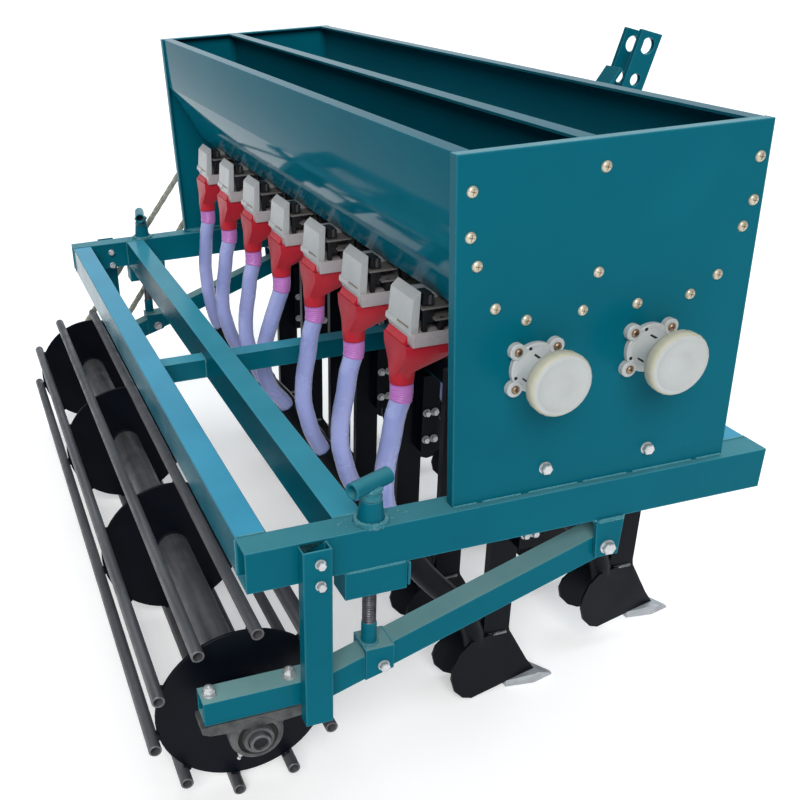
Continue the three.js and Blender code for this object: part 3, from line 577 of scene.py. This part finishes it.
def unit(p, x, shaft, spout):
    """One metering box: white housing, clear cup, red funnel, shutter flaps and their levers"""
    out = 1 if spout > shaft else -1
    f = abs(spout - shaft)
    Y = lambda v: shaft + out * v
    X0, X1, rim, n = -33, 30, 136, 32
    fore, back = f - 60, f + 10

    def rect(x0, x1, ya, yb, z):
        pts, per = [], n // 4
        for (ax, ay), (bx, by) in zip(((x0, ya), (x1, ya), (x1, yb), (x0, yb)), ((x1, ya), (x1, yb), (x0, yb), (x0, ya))):
            pts += [(x + ax + (bx - ax) * k / per, Y(ay + (by - ay) * k / per), z) for k in range(per)]
        return pts

    def round_(z, r):
        pts, per = [], n // 4
        cs = [(-1, -1), (1, -1), (1, 1), (-1, 1)]
        for (ax, ay), (bx, by) in zip(cs, cs[1:] + cs[:1]):
            for k in range(per):
                u, v = ax + (bx - ax) * k / per, ay + (by - ay) * k / per
                l = math.hypot(u, v)
                pts.append((x + r * u / l, Y(f + r * v / l), z))
        return pts

    # funnel: oblong mouth drawn down to a round spout, open inside
    p.shell([rect(X0, X1, fore, back, rim), rect(X0 + 0.6, X1 - 0.6, fore + 1, back - 0.6, rim - 14),
             round_(SPOUT_Z + 15, 15.8), round_(SPOUT_Z + 6, 15.0), round_(SPOUT_Z + 0.2, 14.7)], red, (False, True))
    p.shell([rect(X0 + 2, X1 - 2, fore + 2, back - 2, rim), rect(X0 + 2.6, X1 - 2.6, fore + 3, back - 2.6, rim - 14), round_(SPOUT_Z + 18, 12.6)], red, (False, True))
    p.shell([rect(X0, X1, fore, back, rim), rect(X0 + 2, X1 - 2, fore + 2, back - 2, rim)], red, (False, False))
    # lid of the mouth behind the housing, and the clear cup standing in it
    p.prism([(Y(back - 2), rim - 3), (Y(back - 2), rim + 0.6), (Y(f + 3), rim + 9), (Y(f - 4), rim + 9), (Y(f - 4), rim - 3)], x + X0 + 1.5, x + 19, red)
    p.shell([rect(-24, 34, f - 52, f + 3, rim - 1), rect(-26, 36, f - 54, f + 4, rim + 17)], cupm, (True, False))
    p.shell([rect(-24, 34, f - 52, f + 3, rim - 1), rect(-24, 34, f - 52, f + 1, rim + 15)], cupm, (True, True))
    # housing: flat white front with a chamfered top, then the narrower body round the shaft
    p.prism([(Y(f + 3), 144), (Y(f + 5.5), 151), (Y(f + 2), 190), (Y(f - 7), 198.5), (Y(f - 5), 144)], x - 33, x + 28.5, white)
    p.prism([(Y(f + 5), 149), (Y(f + 7.5), 152), (Y(f + 7), 158), (Y(f + 4), 160)], x - 35, x - 8, white)
    p.prism([(Y(f + 5.6), 156.6), (Y(f + 5.9), 156.6), (Y(f + 5.8), 158), (Y(f + 5.4), 158)], x - 6, x + 24, brown)
    p.prism([(Y(f - 4), 140), (Y(f - 4), FLOOR), (Y(-46), FLOOR), (Y(-46), 150), (Y(-30), 140)], x - 28, x + 4, white)
    p.turned((x + 3.5, shaft, 154), (1, 0, 0), [(0, 0), (0, 20), (3, 20), (3.6, 19.2), (3.6, 11), (9, 11), (9, 9.6)], white, 24)
    p.turned((x - 27.5, shaft, 154), (-1, 0, 0), [(0, 0), (0, 20), (3, 20), (3.6, 19.2), (3.6, 11), (5, 11), (5, 9.6)], white, 24)
    for s in (1, -1):
        # fixing flange against the hopper floor
        p.box(x + min(s * 20, s * 34), x + max(s * 20, s * 34), shaft - 18, shaft + 18, FLOOR - 4, FLOOR, white)
        for dy in (-10, 10):
            p.pan((x + s * 29, shaft + dy, FLOOR - 4), (0, 0, -1), 3, zinc, hole_shade)
    # shutter flaps, one behind the other, each with black levers and legs
    def slab(xa, xb, va, vb, z, t, drop, mat):
        pts = [(x + xa, Y(va), z), (x + xb, Y(va), z - drop), (x + xb, Y(vb), z - drop), (x + xa, Y(vb), z)]
        p.shell([[(q[0], q[1], q[2] - t) for q in pts], pts], mat)

    def block(xa, xb, va, vb, za, zb, mat):
        p.box(x + xa, x + xb, *sorted((Y(va), Y(vb))), za, zb, mat)

    for k, v in enumerate((f - 8, f - 50)):
        slab(4, 31, v, v - 36, 181, 2.2, 1.5, flap)
        slab(9, 35, v - 15, v - 40, 169, 2.2, 2.5, flap)
        block(8, 27, v - 3, v - 13, 181, 196, lever)
        block(24, 30, v - 2.5, v - 8, 147, 179, lever)
        block(25, 33, v - 22, v - 27, 142, 167, lever)
        block(10, 27, v - 6, v - 17, 160, 178, lever)
        block(6, 22, v - 19, v - 34, 171, 177, lever)
        block(9, 23, v - 24, v - 38, 148, 166, red if k else lever)
        p.turned((x + 27, Y(v - 12), 183), (0, 0, 1), [(0, 0), (0, 4), (9, 4), (11, 3), (11.4, 0)], brown if k else lever, 12)


p = Piece("rear_meters_look", white, cupm, red, flap, lever, brown, hole_shade, zinc, steel)
for r in rear_rows:
    unit(p, r * 150, 320, 252)
p.box(-450, 450, 358.3, 366, FLOOR - 22, FLOOR - 4, zinc)
p.done("frame", "meter_plastic", "rear_meter_bank", bevel=0.8, segs=2, sharp=32)
p = Piece("front_meters_look", white, cupm, red, flap, lever, brown, hole_shade, zinc, steel)
for r in front_rows:
    unit(p, r * 150, 455, 514)
p.box(-375, 375, 409, 416.7, FLOOR - 22, FLOOR - 4, zinc)
p.done("frame", "meter_plastic", "front_meter_bank", bevel=0.8, segs=2, sharp=32)

# -------------------------------------------------------------------- knobs
for name, y in (("rear_rate_knob", 320), ("front_rate_knob", 455)):
    p = Piece(name + "_look", cream, rimm, brown, hole_shade)
    x, z = 617.3, 154
    p.turned((x, y, z), (1, 0, 0), [(0, 0), (0, 27), (5, 27), (6.5, 25.5), (6.5, 0)], cream, 40)
    for dy in (-22, 22):
        for dz in (-20.5, 20.5):
            p.turned((x, y + dy, z + dz), (1, 0, 0), [(0, 0), (0, 8.8), (6.5, 8.8), (7.5, 7.8), (7.5, 0)], cream, 22)
            p.pan((x + 7.4, y + dy, z + dz), (1, 0, 0), 4.6, brown, hole_shade)
    p.turned((x + 4, y, z), (1, 0, 0), [(0, 0), (0, 22.5), (4, 21.5), (8, 19), (39, 18.5), (39, 0)], cream, 36)
    for k in range(4):
        # slots in the neck's collar, drawn as near-black discs: painted shade inside them
        q = math.radians(20 + 90 * k)
        c, d = math.cos(q), math.sin(q)
        p.turned((x + 6, y + 23.6 * c, z + 23.6 * d), (1, 0, 0), [(0, 0), (0, 1.9), (0.9, 1.9), (0.9, 0)], hole_shade, 8)
        p.turned((x + 13, y + 18.3 * c, z + 18.3 * d), (1, 0, 0), [(0, 0), (0, 1.5), (9, 1.5), (9, 0)], hole_shade, 8)
    # cap: rounded rim with fine ribs, dished face
    n = 72
    rings = []
    for d, r, amp in ((0, 31.5, 0), (1.2, 33, 0.1), (3, 33.7, 0.22), (11, 33.9, 0.22), (13.2, 33.2, 0.1), (14.8, 31.6, 0)):
        rings.append([(659.4 + d, y + (r + amp * (1 if i % 3 else -1)) * math.cos(2 * math.pi * i / n), z + (r + amp * (1 if i % 3 else -1)) * math.sin(2 * math.pi * i / n)) for i in range(n)])
    p.shell(rings, rimm, (True, False))
    face = []
    for d, r in ((14.8, 31.6), (15.3, 29.6), (15.3, 27.6), (14.3, 26.2), (14.1, 12), (14.8, 10.5), (14.8, 0.01)):
        face.append([(659.4 + d, y + r * math.cos(2 * math.pi * i / n), z + r * math.sin(2 * math.pi * i / n)) for i in range(n)])
    p.shell(face, cream, (False, True))
    p.done("frame", "knob_plastic", name, sharp=35)

# ------------------------------------------- screws and bolts on the hopper
p = Piece("hopper_screws", yellow, brown, zinc)
pattern = [(239, 340), (240, 297), (249, 268), (272, 222), (308, 205), (372, 206), (385, 244), (379, 348), (436, 204), (499, 205), (529, 222),
           (549, 270), (556, 296), (554, 339)]
for s in (1, -1):
    for y, z in pattern:
        p.pan((s * 617, y, z), (s, 0, 0), 5.8, yellow, brown)
    for y in (348, 476):
        p.bolt((s * 617, y, 29), (s, 0, 0), 11.5, zinc, 6.5, washer=7.2)
p.done("frame", "zinc_plate")

# ------------------------------------------------------------------- welds
p = Piece("frame_welds", teal_rough, teal)
for s in (1, -1):
    xi, xo = s * 590, s * 625
    for y0, y1 in ((0, 35), (110, 145), (431, 466), (602, 637)):
        p.weld((xi, y0 + 1, 0.2), (xi, y1 - 1, 0.2), 1.5, teal_rough)
        for y in (y0, y1):
            p.weld((xi - s * 0.5, y, -2), (xi - s * 0.5, y, -48), 1.6, teal_rough)
        p.weld((xi, y0 + 1, -50), (xi, y1 - 1, -50), 1.6, teal_rough)
    # plate foot on the rail, in short runs
    for a, b in ((239, 268), (274, 322), (330, 392), (398, 455), (462, 540), (546, 580)):
        p.weld((s * 617.6, a, 0.9), (s * 617.6, b, 0.9), 1.5, teal_rough, 2.8)
    for a, b in ((250, 280), (400, 440), (520, 560)):
        p.weld((s * 603, a, 1.2), (s * 603, b, 1.2), 2.0, teal_rough)
    # rising screw's boss
    p.weld_ring((s * 607.5, 147, 1.0), (0, 0, 1), 16.6, 3.1, teal_rough, 0.5)
    for k in range(16):
        y = 112 + 90 * random.random()
        if abs(y - 147) < 19:
            continue
        x, l, r = s * (596 + 22 * random.random()), 3 + 7 * random.random(), 0.6 + 0.9 * random.random()
        q = 2 * math.pi * random.random()
        p.weld((x, y, 0.1), (x + l * math.cos(q) * 0.4, y + l * math.sin(q), 0.1), r, teal_rough, 2.6)
    # nut box and pivot ears
    for x in (s * 590.4, s * 624.6):
        p.weld((x, 113, -50.6), (x, 182, -50.6), 1.7, teal_rough)
    for y in (111.3, 183.7):
        p.weld((s * 592, y, -50.8), (s * 623, y, -50.8), 1.7, teal_rough)
    for y in (418, 454):
        p.weld((s * 584, y, -51), (s * 626, y, -51), 2.0, teal_rough)
    p.weld((s * 627, 419, -51.5), (s * 627, 453, -51.5), 2.4, teal_rough)
for x in (18, 48):
    for y in (35.6, 109.5, 145.5, 430.5, 466.5, 601.5):
        p.weld((x, y, -21), (x, y, -49), 1.3, teal_rough)
for y in (35.6, 109.5, 145.5, 430.5, 466.5, 601.5):
    p.weld((19, y, -19.8), (47, y, -19.8), 1.5, teal_rough)
p.done("frame", "teal_paint")

# -------------------------------------- guide bars, nut boxes, pivots: bolts
p = Piece("frame_bolts", zinc, steel, teal, hole_shade)
for s in (1, -1):
    for z in (-18, -45):
        p.bolt((s * 643, 76, z), (s, 0, 0), 9.5, zinc, 5.5, washer=6)
        p.bolt((s * 589.8, 76, z), (-s, 0, 0), 9.5, zinc, 6, washer=6)
    # flange along the front of the nut box
    p.prism([(184.2, -80), (184.2, -51), (186.6, -51), (186.6, -80)], *sorted((s * 590, s * 628)), teal)
    # pivot pin head, nut and thread
    p.bolt((s * 627.2, 436, -88), (s, 0, 0), 14, zinc, 6.5, washer=9)
    p.bolt((s * 582.8, 436, -88), (-s, 0, 0), 17, zinc, 8, dome=3)
p.done("frame", "zinc_plate")

# ------------------------------------------------------------ T-handle screws
for side, s in SIDES:
    p = Piece(f"depth_screw_look_{side}", teal, thread, hole_shade, teal_rough, zinc)
    X = s * 607.5
    # handle: a short pipe across the top
    a, b = (Vector((618.4, 120.5, 46)), Vector((597.6, 170.5, 46))) if s > 0 else (Vector((-581, 140.8, 46)), Vector((-634, 150.2, 46)))
    p.pipe(a, b - a, (b - a).length, 9.6, 7.0, teal, hole_shade, 28, 14)
    # near-black discs 12 mm inside the pipe ends: painted shade in the bore
    p.turned(a + (b - a).normalized() * 12, b - a, [(0, 0), (0, 7.2), (0.5, 7.2), (0.5, 0)], hole_shade, 20)
    p.turned(b - (b - a).normalized() * 12, a - b, [(0, 0), (0, 7.2), (0.5, 7.2), (0.5, 0)], hole_shade, 20)
    p.turned((X, 147, 28.4), (0, 0, 1), [(0, 0), (0, 12.2), (2.5, 12.4), (6, 10.8), (11, 9.4), (15, 10.2), (15, 0)], teal_rough, 28)
    p.weld_ring((X, 147, 39.5), (0, 0, 1), 10.2, 2.2, teal_rough, 0.5)
    # rolled thread
    rings, n = [], 20
    z0, z1, pitch = -134.0, 26.0, 3.2
    k = int((z1 - z0) / (pitch / 4))
    for i in range(k + 1):
        z = z0 + (z1 - z0) * i / k
        ring = []
        for j in range(n):
            q = 2 * math.pi * j / n
            ph = (z / pitch - j / n) % 1.0
            r = 7.1 + 1.3 * (1 - abs(2 * ph - 1))
            ring.append((X + r * math.cos(q), 147 + r * math.sin(q), z))
        rings.append(ring)
    p.shell(rings, thread)
    p.turned((X, 147, -160), (0, 0, 1), [(0, 0), (0, 9.0), (24, 9.0), (26.5, 8.4), (26.5, 0)], teal, 24)
    p.done(f"screw_{side}", "teal_paint", f"depth_screw_{side}")

# ------------------------------------------------------------- roller arms
p = Piece("arm_fittings", zinc, teal_rough, teal, hole_shade)
for s in (1, -1):
    x = s * 605
    for y in (-45, 50):
        # domed nuts on the bearing bolts
        p.bolt((x, y, -189.5), (0, 0, 1), 12.5, zinc, 7.5, dome=4.5, washer=8.5)
        p.bolt((x, y, -234), (0, 0, -1), 13, zinc, 5)
    # saddle bolt and welds
    p.bolt((s * 624, 159, -189), (s, 0, 0), 11, zinc, 6, washer=7)
    p.bolt((s * 586, 159, -189), (-s, 0, 0), 12, zinc, 7)
    p.weld((s * 587, 137.5, -163), (s * 623, 137.5, -163), 1.4, teal_rough)
    p.weld((s * 587, 171.5, -163), (s * 623, 171.5, -163), 1.4, teal_rough)
    p.weld_ring((s * 607.5, 147, -162.4), (0, 0, 1), 9.8, 1.7, teal_rough, 0.4)
    # mitred joint where the arm turns up
    p.weld((s * 620.3, 94.5, -190.5), (s * 620.3, 92, -221), 1.0, teal)
p.done("roller_arms", "zinc_plate")

for side, s in SIDES:
    p = Piece(f"bearing_look_{side}", iron, zinc, hole_shade, rodm)
    y0, z0 = 5, -254
    # foot bolted up under the arm, then the round housing
    p.prism([(y0 - 65, -222), (y0 + 65, -222), (y0 + 65, -231), (y0 + 56, -236), (y0 + 35, -238), (y0 - 35, -238), (y0 - 56, -236), (y0 - 65, -231)],
            *sorted((s * 590, s * 622)), iron)
    prof = [(0, 0), (0, 26), (3, 30), (8, 33), (26, 33), (31, 31), (33.5, 28), (33.5, 24.5), (30, 24), (30, 19), (33, 18.6), (38, 18.2), (39, 17.2), (39, 13.8),
            (36.5, 13.3), (36.5, 0)]
    p.turned((s * 589.5, y0, z0), (s, 0, 0), prof, iron, 40)
    # near-black ring at the face and disc deep in the bore: painted shade
    p.turned((s * 619.8, y0, z0), (s, 0, 0), [(0, 19.2), (0, 23.8), (0.8, 23.8), (0.8, 19.2)], hole_shade, 40)
    p.turned((s * 625.6, y0, z0), (s, 0, 0), [(0, 0), (0, 13.2), (1.0, 13.2), (1.0, 0)], hole_shade, 30)
    # ribs between foot and housing
    for dy in (-30, 30):
        p.prism([(y0 + dy * 0.6, -236), (y0 + dy * 1.35, -236), (y0 + dy * 0.98, -254)], *sorted((s * 598, s * 614)), iron)
    # grease nipple
    d = Vector((s * 0.55, -0.60, -0.6)).normalized()
    at = Vector((s * 616, y0 - 20, z0 - 23))
    p.turned(at, d, [(0, 0), (0, 3.6), (3, 3.6), (3.5, 2), (6, 2), (7, 2.6), (8.5, 1.6), (8.6, 0)], zinc, 12)
    p.done("roller_arms", "bearing_iron", f"roller_bearing_{side}", bevel=0.9, segs=2, sharp=34)

# ------------------------------------------------------------------ roller
CY, CZ, RR = 5, -254, 117
p = Piece("roller_bars_look", rodm, hole_shade, black, bead)
for i in range(10):
    q = math.radians(82 + 36 * i)
    y, z = CY + RR * math.cos(q), CZ + RR * math.sin(q)
    p.pipe((-584, y, z), (1, 0, 0), 1168, 8, 5.6, rodm, hole_shade, 20, 30)
    # near-black disc just inside each bar end: painted shade in the bore
    for s in (1, -1):
        p.turned((s * 556, y, z), (-s, 0, 0), [(0, 0), (0, 5.7), (1, 5.7), (1, 0)], hole_shade, 16)
    for x in (-560, -187, 187, 560):
        # the bar is welded to the rim of the disc on its inner side
        rr = RR - 8.2
        for s in (1, -1):
            c, d = math.cos(q), math.sin(q)
            p.weld((x + s * 2.4, CY + rr * c - 6 * d, CZ + rr * d + 6 * c), (x + s * 2.4, CY + rr * c + 6 * d, CZ + rr * d - 6 * c), 2.3, black, 3.0)
p.done("roller", "worn_rod", *[f"roller_bar_{i}" for i in range(1, 11)])

p = Piece("roller_core_look", black, rodm, steel, hole_shade, teal_rough)
n = 60
for x in (-560, -187, 187, 560):
    rings = []
    for dx, r in ((-2, 22), (-2, 107.6), (-1.3, 108.6), (1.3, 108.6), (2, 107.6), (2, 22)):
        rings.append([(x + dx, CY + r * math.cos(2 * math.pi * k / n), CZ + r * math.sin(2 * math.pi * k / n)) for k in range(n)])
    p.shell(rings, black, closed=True)
    for s in (1, -1):
        p.weld_ring((x + s * 2.6, CY, CZ), (1, 0, 0), 24.6, 1.9, black, 0.3)
p.turned((-562, CY, CZ), (1, 0, 0), [(0, 0), (0, 23.4), (0.6, 24), (1123.4, 24), (1124, 23.4), (1124, 0)], rodm, 32)
for s, far in ((1, 634), (-1, 668)):
    p.turned((s * 560, CY, CZ), (s, 0, 0), [(0, 0), (0, 12.5), (far - 561, 12.5), (far - 560, 11.5), (far - 560, 9.2), (far - 563, 8.6), (far - 563, 0)], rodm, 24)
    # near-black disc in the recess at the stub's end: painted shade
    p.turned((s * (far - 3.2), CY, CZ), (s, 0, 0), [(0, 0), (0, 8.6), (0.5, 8.6), (0.5, 0)], hole_shade, 20)


def sprocket(p, x, y, z, pitch_r, teeth, mat, thick=6):
    n = teeth * 6
    prof = (0.96, 1.06, 1.10, 1.06, 0.96, 0.90)
    pts = []
    for k in range(n):
        q = 2 * math.pi * k / n
        r = pitch_r * prof[k % 6]
        pts.append((y + r * math.cos(q), z + r * math.sin(q)))
    p.prism(pts, x - thick / 2, x + thick / 2, mat)
    p.turned((x - 9, y, z), (1, 0, 0), [(0, 0), (0, pitch_r * 0.5), (1, pitch_r * 0.54), (17, pitch_r * 0.54), (18, pitch_r * 0.5), (18, 0)], mat, 24)
    p.turned((x, y + pitch_r * 0.54, z), (0, 1, 0), [(-1, 0), (-1, 3.2), (3, 3.2), (3, 0)], mat, 6)


sprocket(p, -655, CY, CZ, 32.5, 16, steel)
p.done("roller", "black_paint", "roller_core", bevel=0.5, segs=1, sharp=34)

# ------------------------------------------------------------- chain drive
for node, body, y, far, wheels in (("rear_meter_shaft", "rear_meter_drive", 320, -675, (-655, -634)), ("front_meter_shaft", "front_meter_drive", 455, -648, (-634,))):
    p = Piece(node + "_look", steel, zinc)
    # square-edged drive shaft
    p.turned((far, y, 154), (1, 0, 0), [(0, 0), (0, 8), (1, 9), (613 - far - 1, 9), (613 - far, 8), (613 - far, 0)], steel, 16)
    for x in wheels:
        sprocket(p, x, y, 154, 26.5, 13, steel)
    p.turned((far + 1, y, 154), (0, 0, 1), [(-12.5, 0), (-12.5, 1.8), (12.5, 1.8), (12.5, 0)], zinc, 8)
    p.done(body, "zinc_plate", node)


def chain_path(y0, z0, r0, y1, z1, r1):
    """Closed line of a belt round two circles"""
    d, a = math.hypot(y1 - y0, z1 - z0), math.atan2(z1 - z0, y1 - y0)
    b = math.acos((r0 - r1) / d)
    pts = [(y0 + r0 * math.cos(a + b + (2 * math.pi - 2 * b) * i / 24), z0 + r0 * math.sin(a + b + (2 * math.pi - 2 * b) * i / 24)) for i in range(25)]
    pts += [(y1 + r1 * math.cos(a - b + 2 * b * i / 24), z1 + r1 * math.sin(a - b + 2 * b * i / 24)) for i in range(25)]
    return pts


def links(p, path, x, pitch=12.7, mat=chain_steel):
    closed = path + path[:1]
    total = sum(math.dist(a, b) for a, b in zip(closed, closed[1:]))
    count = int(round(total / pitch / 2)) * 2
    step = total / count
    spots, seg, used = [], 0, 0.0
    for k in range(count):
        want = k * step
        while used + math.dist(closed[seg], closed[seg + 1]) < want - 1e-9:
            used += math.dist(closed[seg], closed[seg + 1])
            seg += 1
        t = (want - used) / max(math.dist(closed[seg], closed[seg + 1]), 1e-9)
        spots.append((closed[seg][0] + (closed[seg + 1][0] - closed[seg][0]) * t, closed[seg][1] + (closed[seg + 1][1] - closed[seg][1]) * t))
    for k in range(count):
        (ya, za), (yb, zb) = spots[k], spots[(k + 1) % count]
        p.turned((x - 6.2, ya, za), (1, 0, 0), [(0, 0), (0, 2.0), (12.4, 2.0), (12.4, 0)], mat, 8)
        p.turned((x - 3.2, ya, za), (1, 0, 0), [(0, 0), (0, 3.9), (6.4, 3.9), (6.4, 0)], mat, 10)
        w = 4.0 if k % 2 else 5.6
        l = math.hypot(yb - ya, zb - za)
        ty, tz = (yb - ya) / l, (zb - za) / l
        pts = []
        for j in range(6):
            q = math.radians(90 + 36 * j)
            pts.append((ya + 4.1 * (math.cos(q) * ty - math.sin(q) * tz), za + 4.1 * (math.cos(q) * tz + math.sin(q) * ty)))
        for j in range(6):
            q = math.radians(-90 + 36 * j)
            pts.append((yb + 4.1 * (math.cos(q) * ty - math.sin(q) * tz), zb + 4.1 * (math.cos(q) * tz + math.sin(q) * ty)))
        for s in (1, -1):
            p.prism(pts, *sorted((x + s * (w - 0.7), x + s * (w + 0.7))), mat)


p = Piece("drive_chain_look", chain_steel)
links(p, chain_path(5, -254, 36.8, 320, 154, 30.8), -655)
p.done(("frame", "roller_arms", (-655, 316, 138), (-655, 12, -236)), "zinc_plate", "drive_chain")
p = Piece("meter_chain_look", chain_steel)
links(p, chain_path(320, 154, 30.8, 455, 154, 30.8), -634)
p.done("frame", "zinc_plate", "meter_link_chain")

# -------------------------------------------------------------------- hitch
p = Piece("hitch_fittings", zinc, teal_rough, steel, hole_shade)
for s in (1, -1):
    for dx in (-39, 39):
        p.turned((s * 300 + dx + (5 if dx > 0 else -5), 785, -58), (1 if dx > 0 else -1, 0, 0), [(-3, 0), (-3, 16), (0, 16), (0.8, 15), (0.8, 0)], zinc, 24)
    # ring pin through the lower-link pin
    p.turned((s * 300 + 44 * s, 785, -58), (0, 0, 1), [(-17, 0), (-17, 2.4), (19, 2.4), (20, 1.6), (20, 0)], zinc, 10)
    for z in (-10, -52):
        for x in (-14, 14):
            p.bolt((s * 300 + x, 649, z), (0, 1, 0), 13, zinc, 7)
for z in (-36, -12):
    p.bolt((2, 649.2, z), (0, 1, 0), 12, zinc, 6)
p.weld_path([(25.6, 642, 4), (25.6, 642, -46)], 2.0, teal_rough)
p.weld_path([(-21.6, 642, 4), (-21.6, 642, -46)], 2.0, teal_rough)
p.done("frame", "zinc_plate")

# ---------------------------------------------------- anything still plain
plain = {"teal_paint": teal, "black_paint": black, "worn_rod": rodm, "bearing_iron": iron, "clear_hose": hose, "meter_plastic": white,
         "knob_plastic": cream, "zinc_plate": steel}
for name, o in frame["nodes"].items():
    o.data.materials.clear()
    o.data.materials.append(plain[SLOT[name]])

# ------------------------------------------------------- floor and light
bpy.ops.mesh.primitive_plane_add(size=800, location=(0, 0, -0.0005))
floor = bpy.context.object
floor.name = "floor"
fm = Nodes("floor_pale").set(Roughness=0.9, Specular_IOR_Level=0.1)
fm.set(Emission_Color=(1, 1, 1, 1), Emission_Strength=0.36)
fm.link(fm.ramp(fm.noise(0.8, 3), (0.3, (0.80, 0.80, 0.805, 1)), (0.7, (0.83, 0.83, 0.83, 1))), "Base Color")
floor.data.materials.append(fm.m)

# dim on the machine's right, bright on its far side, so that tops shine and near faces stay deep
world = bpy.data.worlds.new("world")
bpy.context.scene.world = world
world.use_nodes = True
wt = world.node_tree
bg = wt.nodes["Background"]
tc = wt.nodes.new("ShaderNodeTexCoord")
dot = wt.nodes.new("ShaderNodeVectorMath")
dot.operation = "DOT_PRODUCT"
dot.inputs[1].default_value = (-0.75, 0.66, 0.0)
wt.links.new(tc.outputs["Generated"], dot.inputs[0])
wr = wt.nodes.new("ShaderNodeValToRGB")
els = wr.color_ramp.elements
while len(els) < 3:
    els.new(0.5)
for el, (pos, col) in zip(els, ((0.0, (0.16, 0.17, 0.18, 1)), (0.5, (0.27, 0.31, 0.33, 1)), (0.88, (0.95, 1.05, 1.12, 1)))):
    el.position = pos
    el.color = col
wt.links.new(dot.outputs["Value"], wr.inputs["Fac"])
# a plain pale backdrop above the floor, whatever lights the machine
seen = wt.nodes.new("ShaderNodeLightPath")
back = wt.nodes.new("ShaderNodeMix")
back.data_type = "RGBA"
back.inputs[7].default_value = (1.0, 1.0, 1.0, 1)
wt.links.new(seen.outputs["Is Camera Ray"], back.inputs["Factor"])
wt.links.new(wr.outputs["Color"], back.inputs[6])
wt.links.new(back.outputs[2], bg.inputs[0])
bg.inputs[1].default_value = 1.0


def sun(name, toward, strength, angle, color=(1, 1, 1)):
    l = bpy.data.lights.new(name, "SUN")
    l.energy = strength
    l.angle = math.radians(angle)
    l.color = color
    o = link(bpy.data.objects.new(name, l))
    o.location = Vector(toward) * 0.8
    o.rotation_euler = Vector(toward).to_track_quat("Z", "Y").to_euler()
    return o


sun("key", (4.2, -2.2, 3.4), 2.6, 35, (1.0, 0.99, 0.97))
sun("top", (-0.9, 0.5, 4.0), 1.2, 60, (0.92, 0.97, 1.0))
bpy.context.scene.view_settings.view_transform = "Standard"
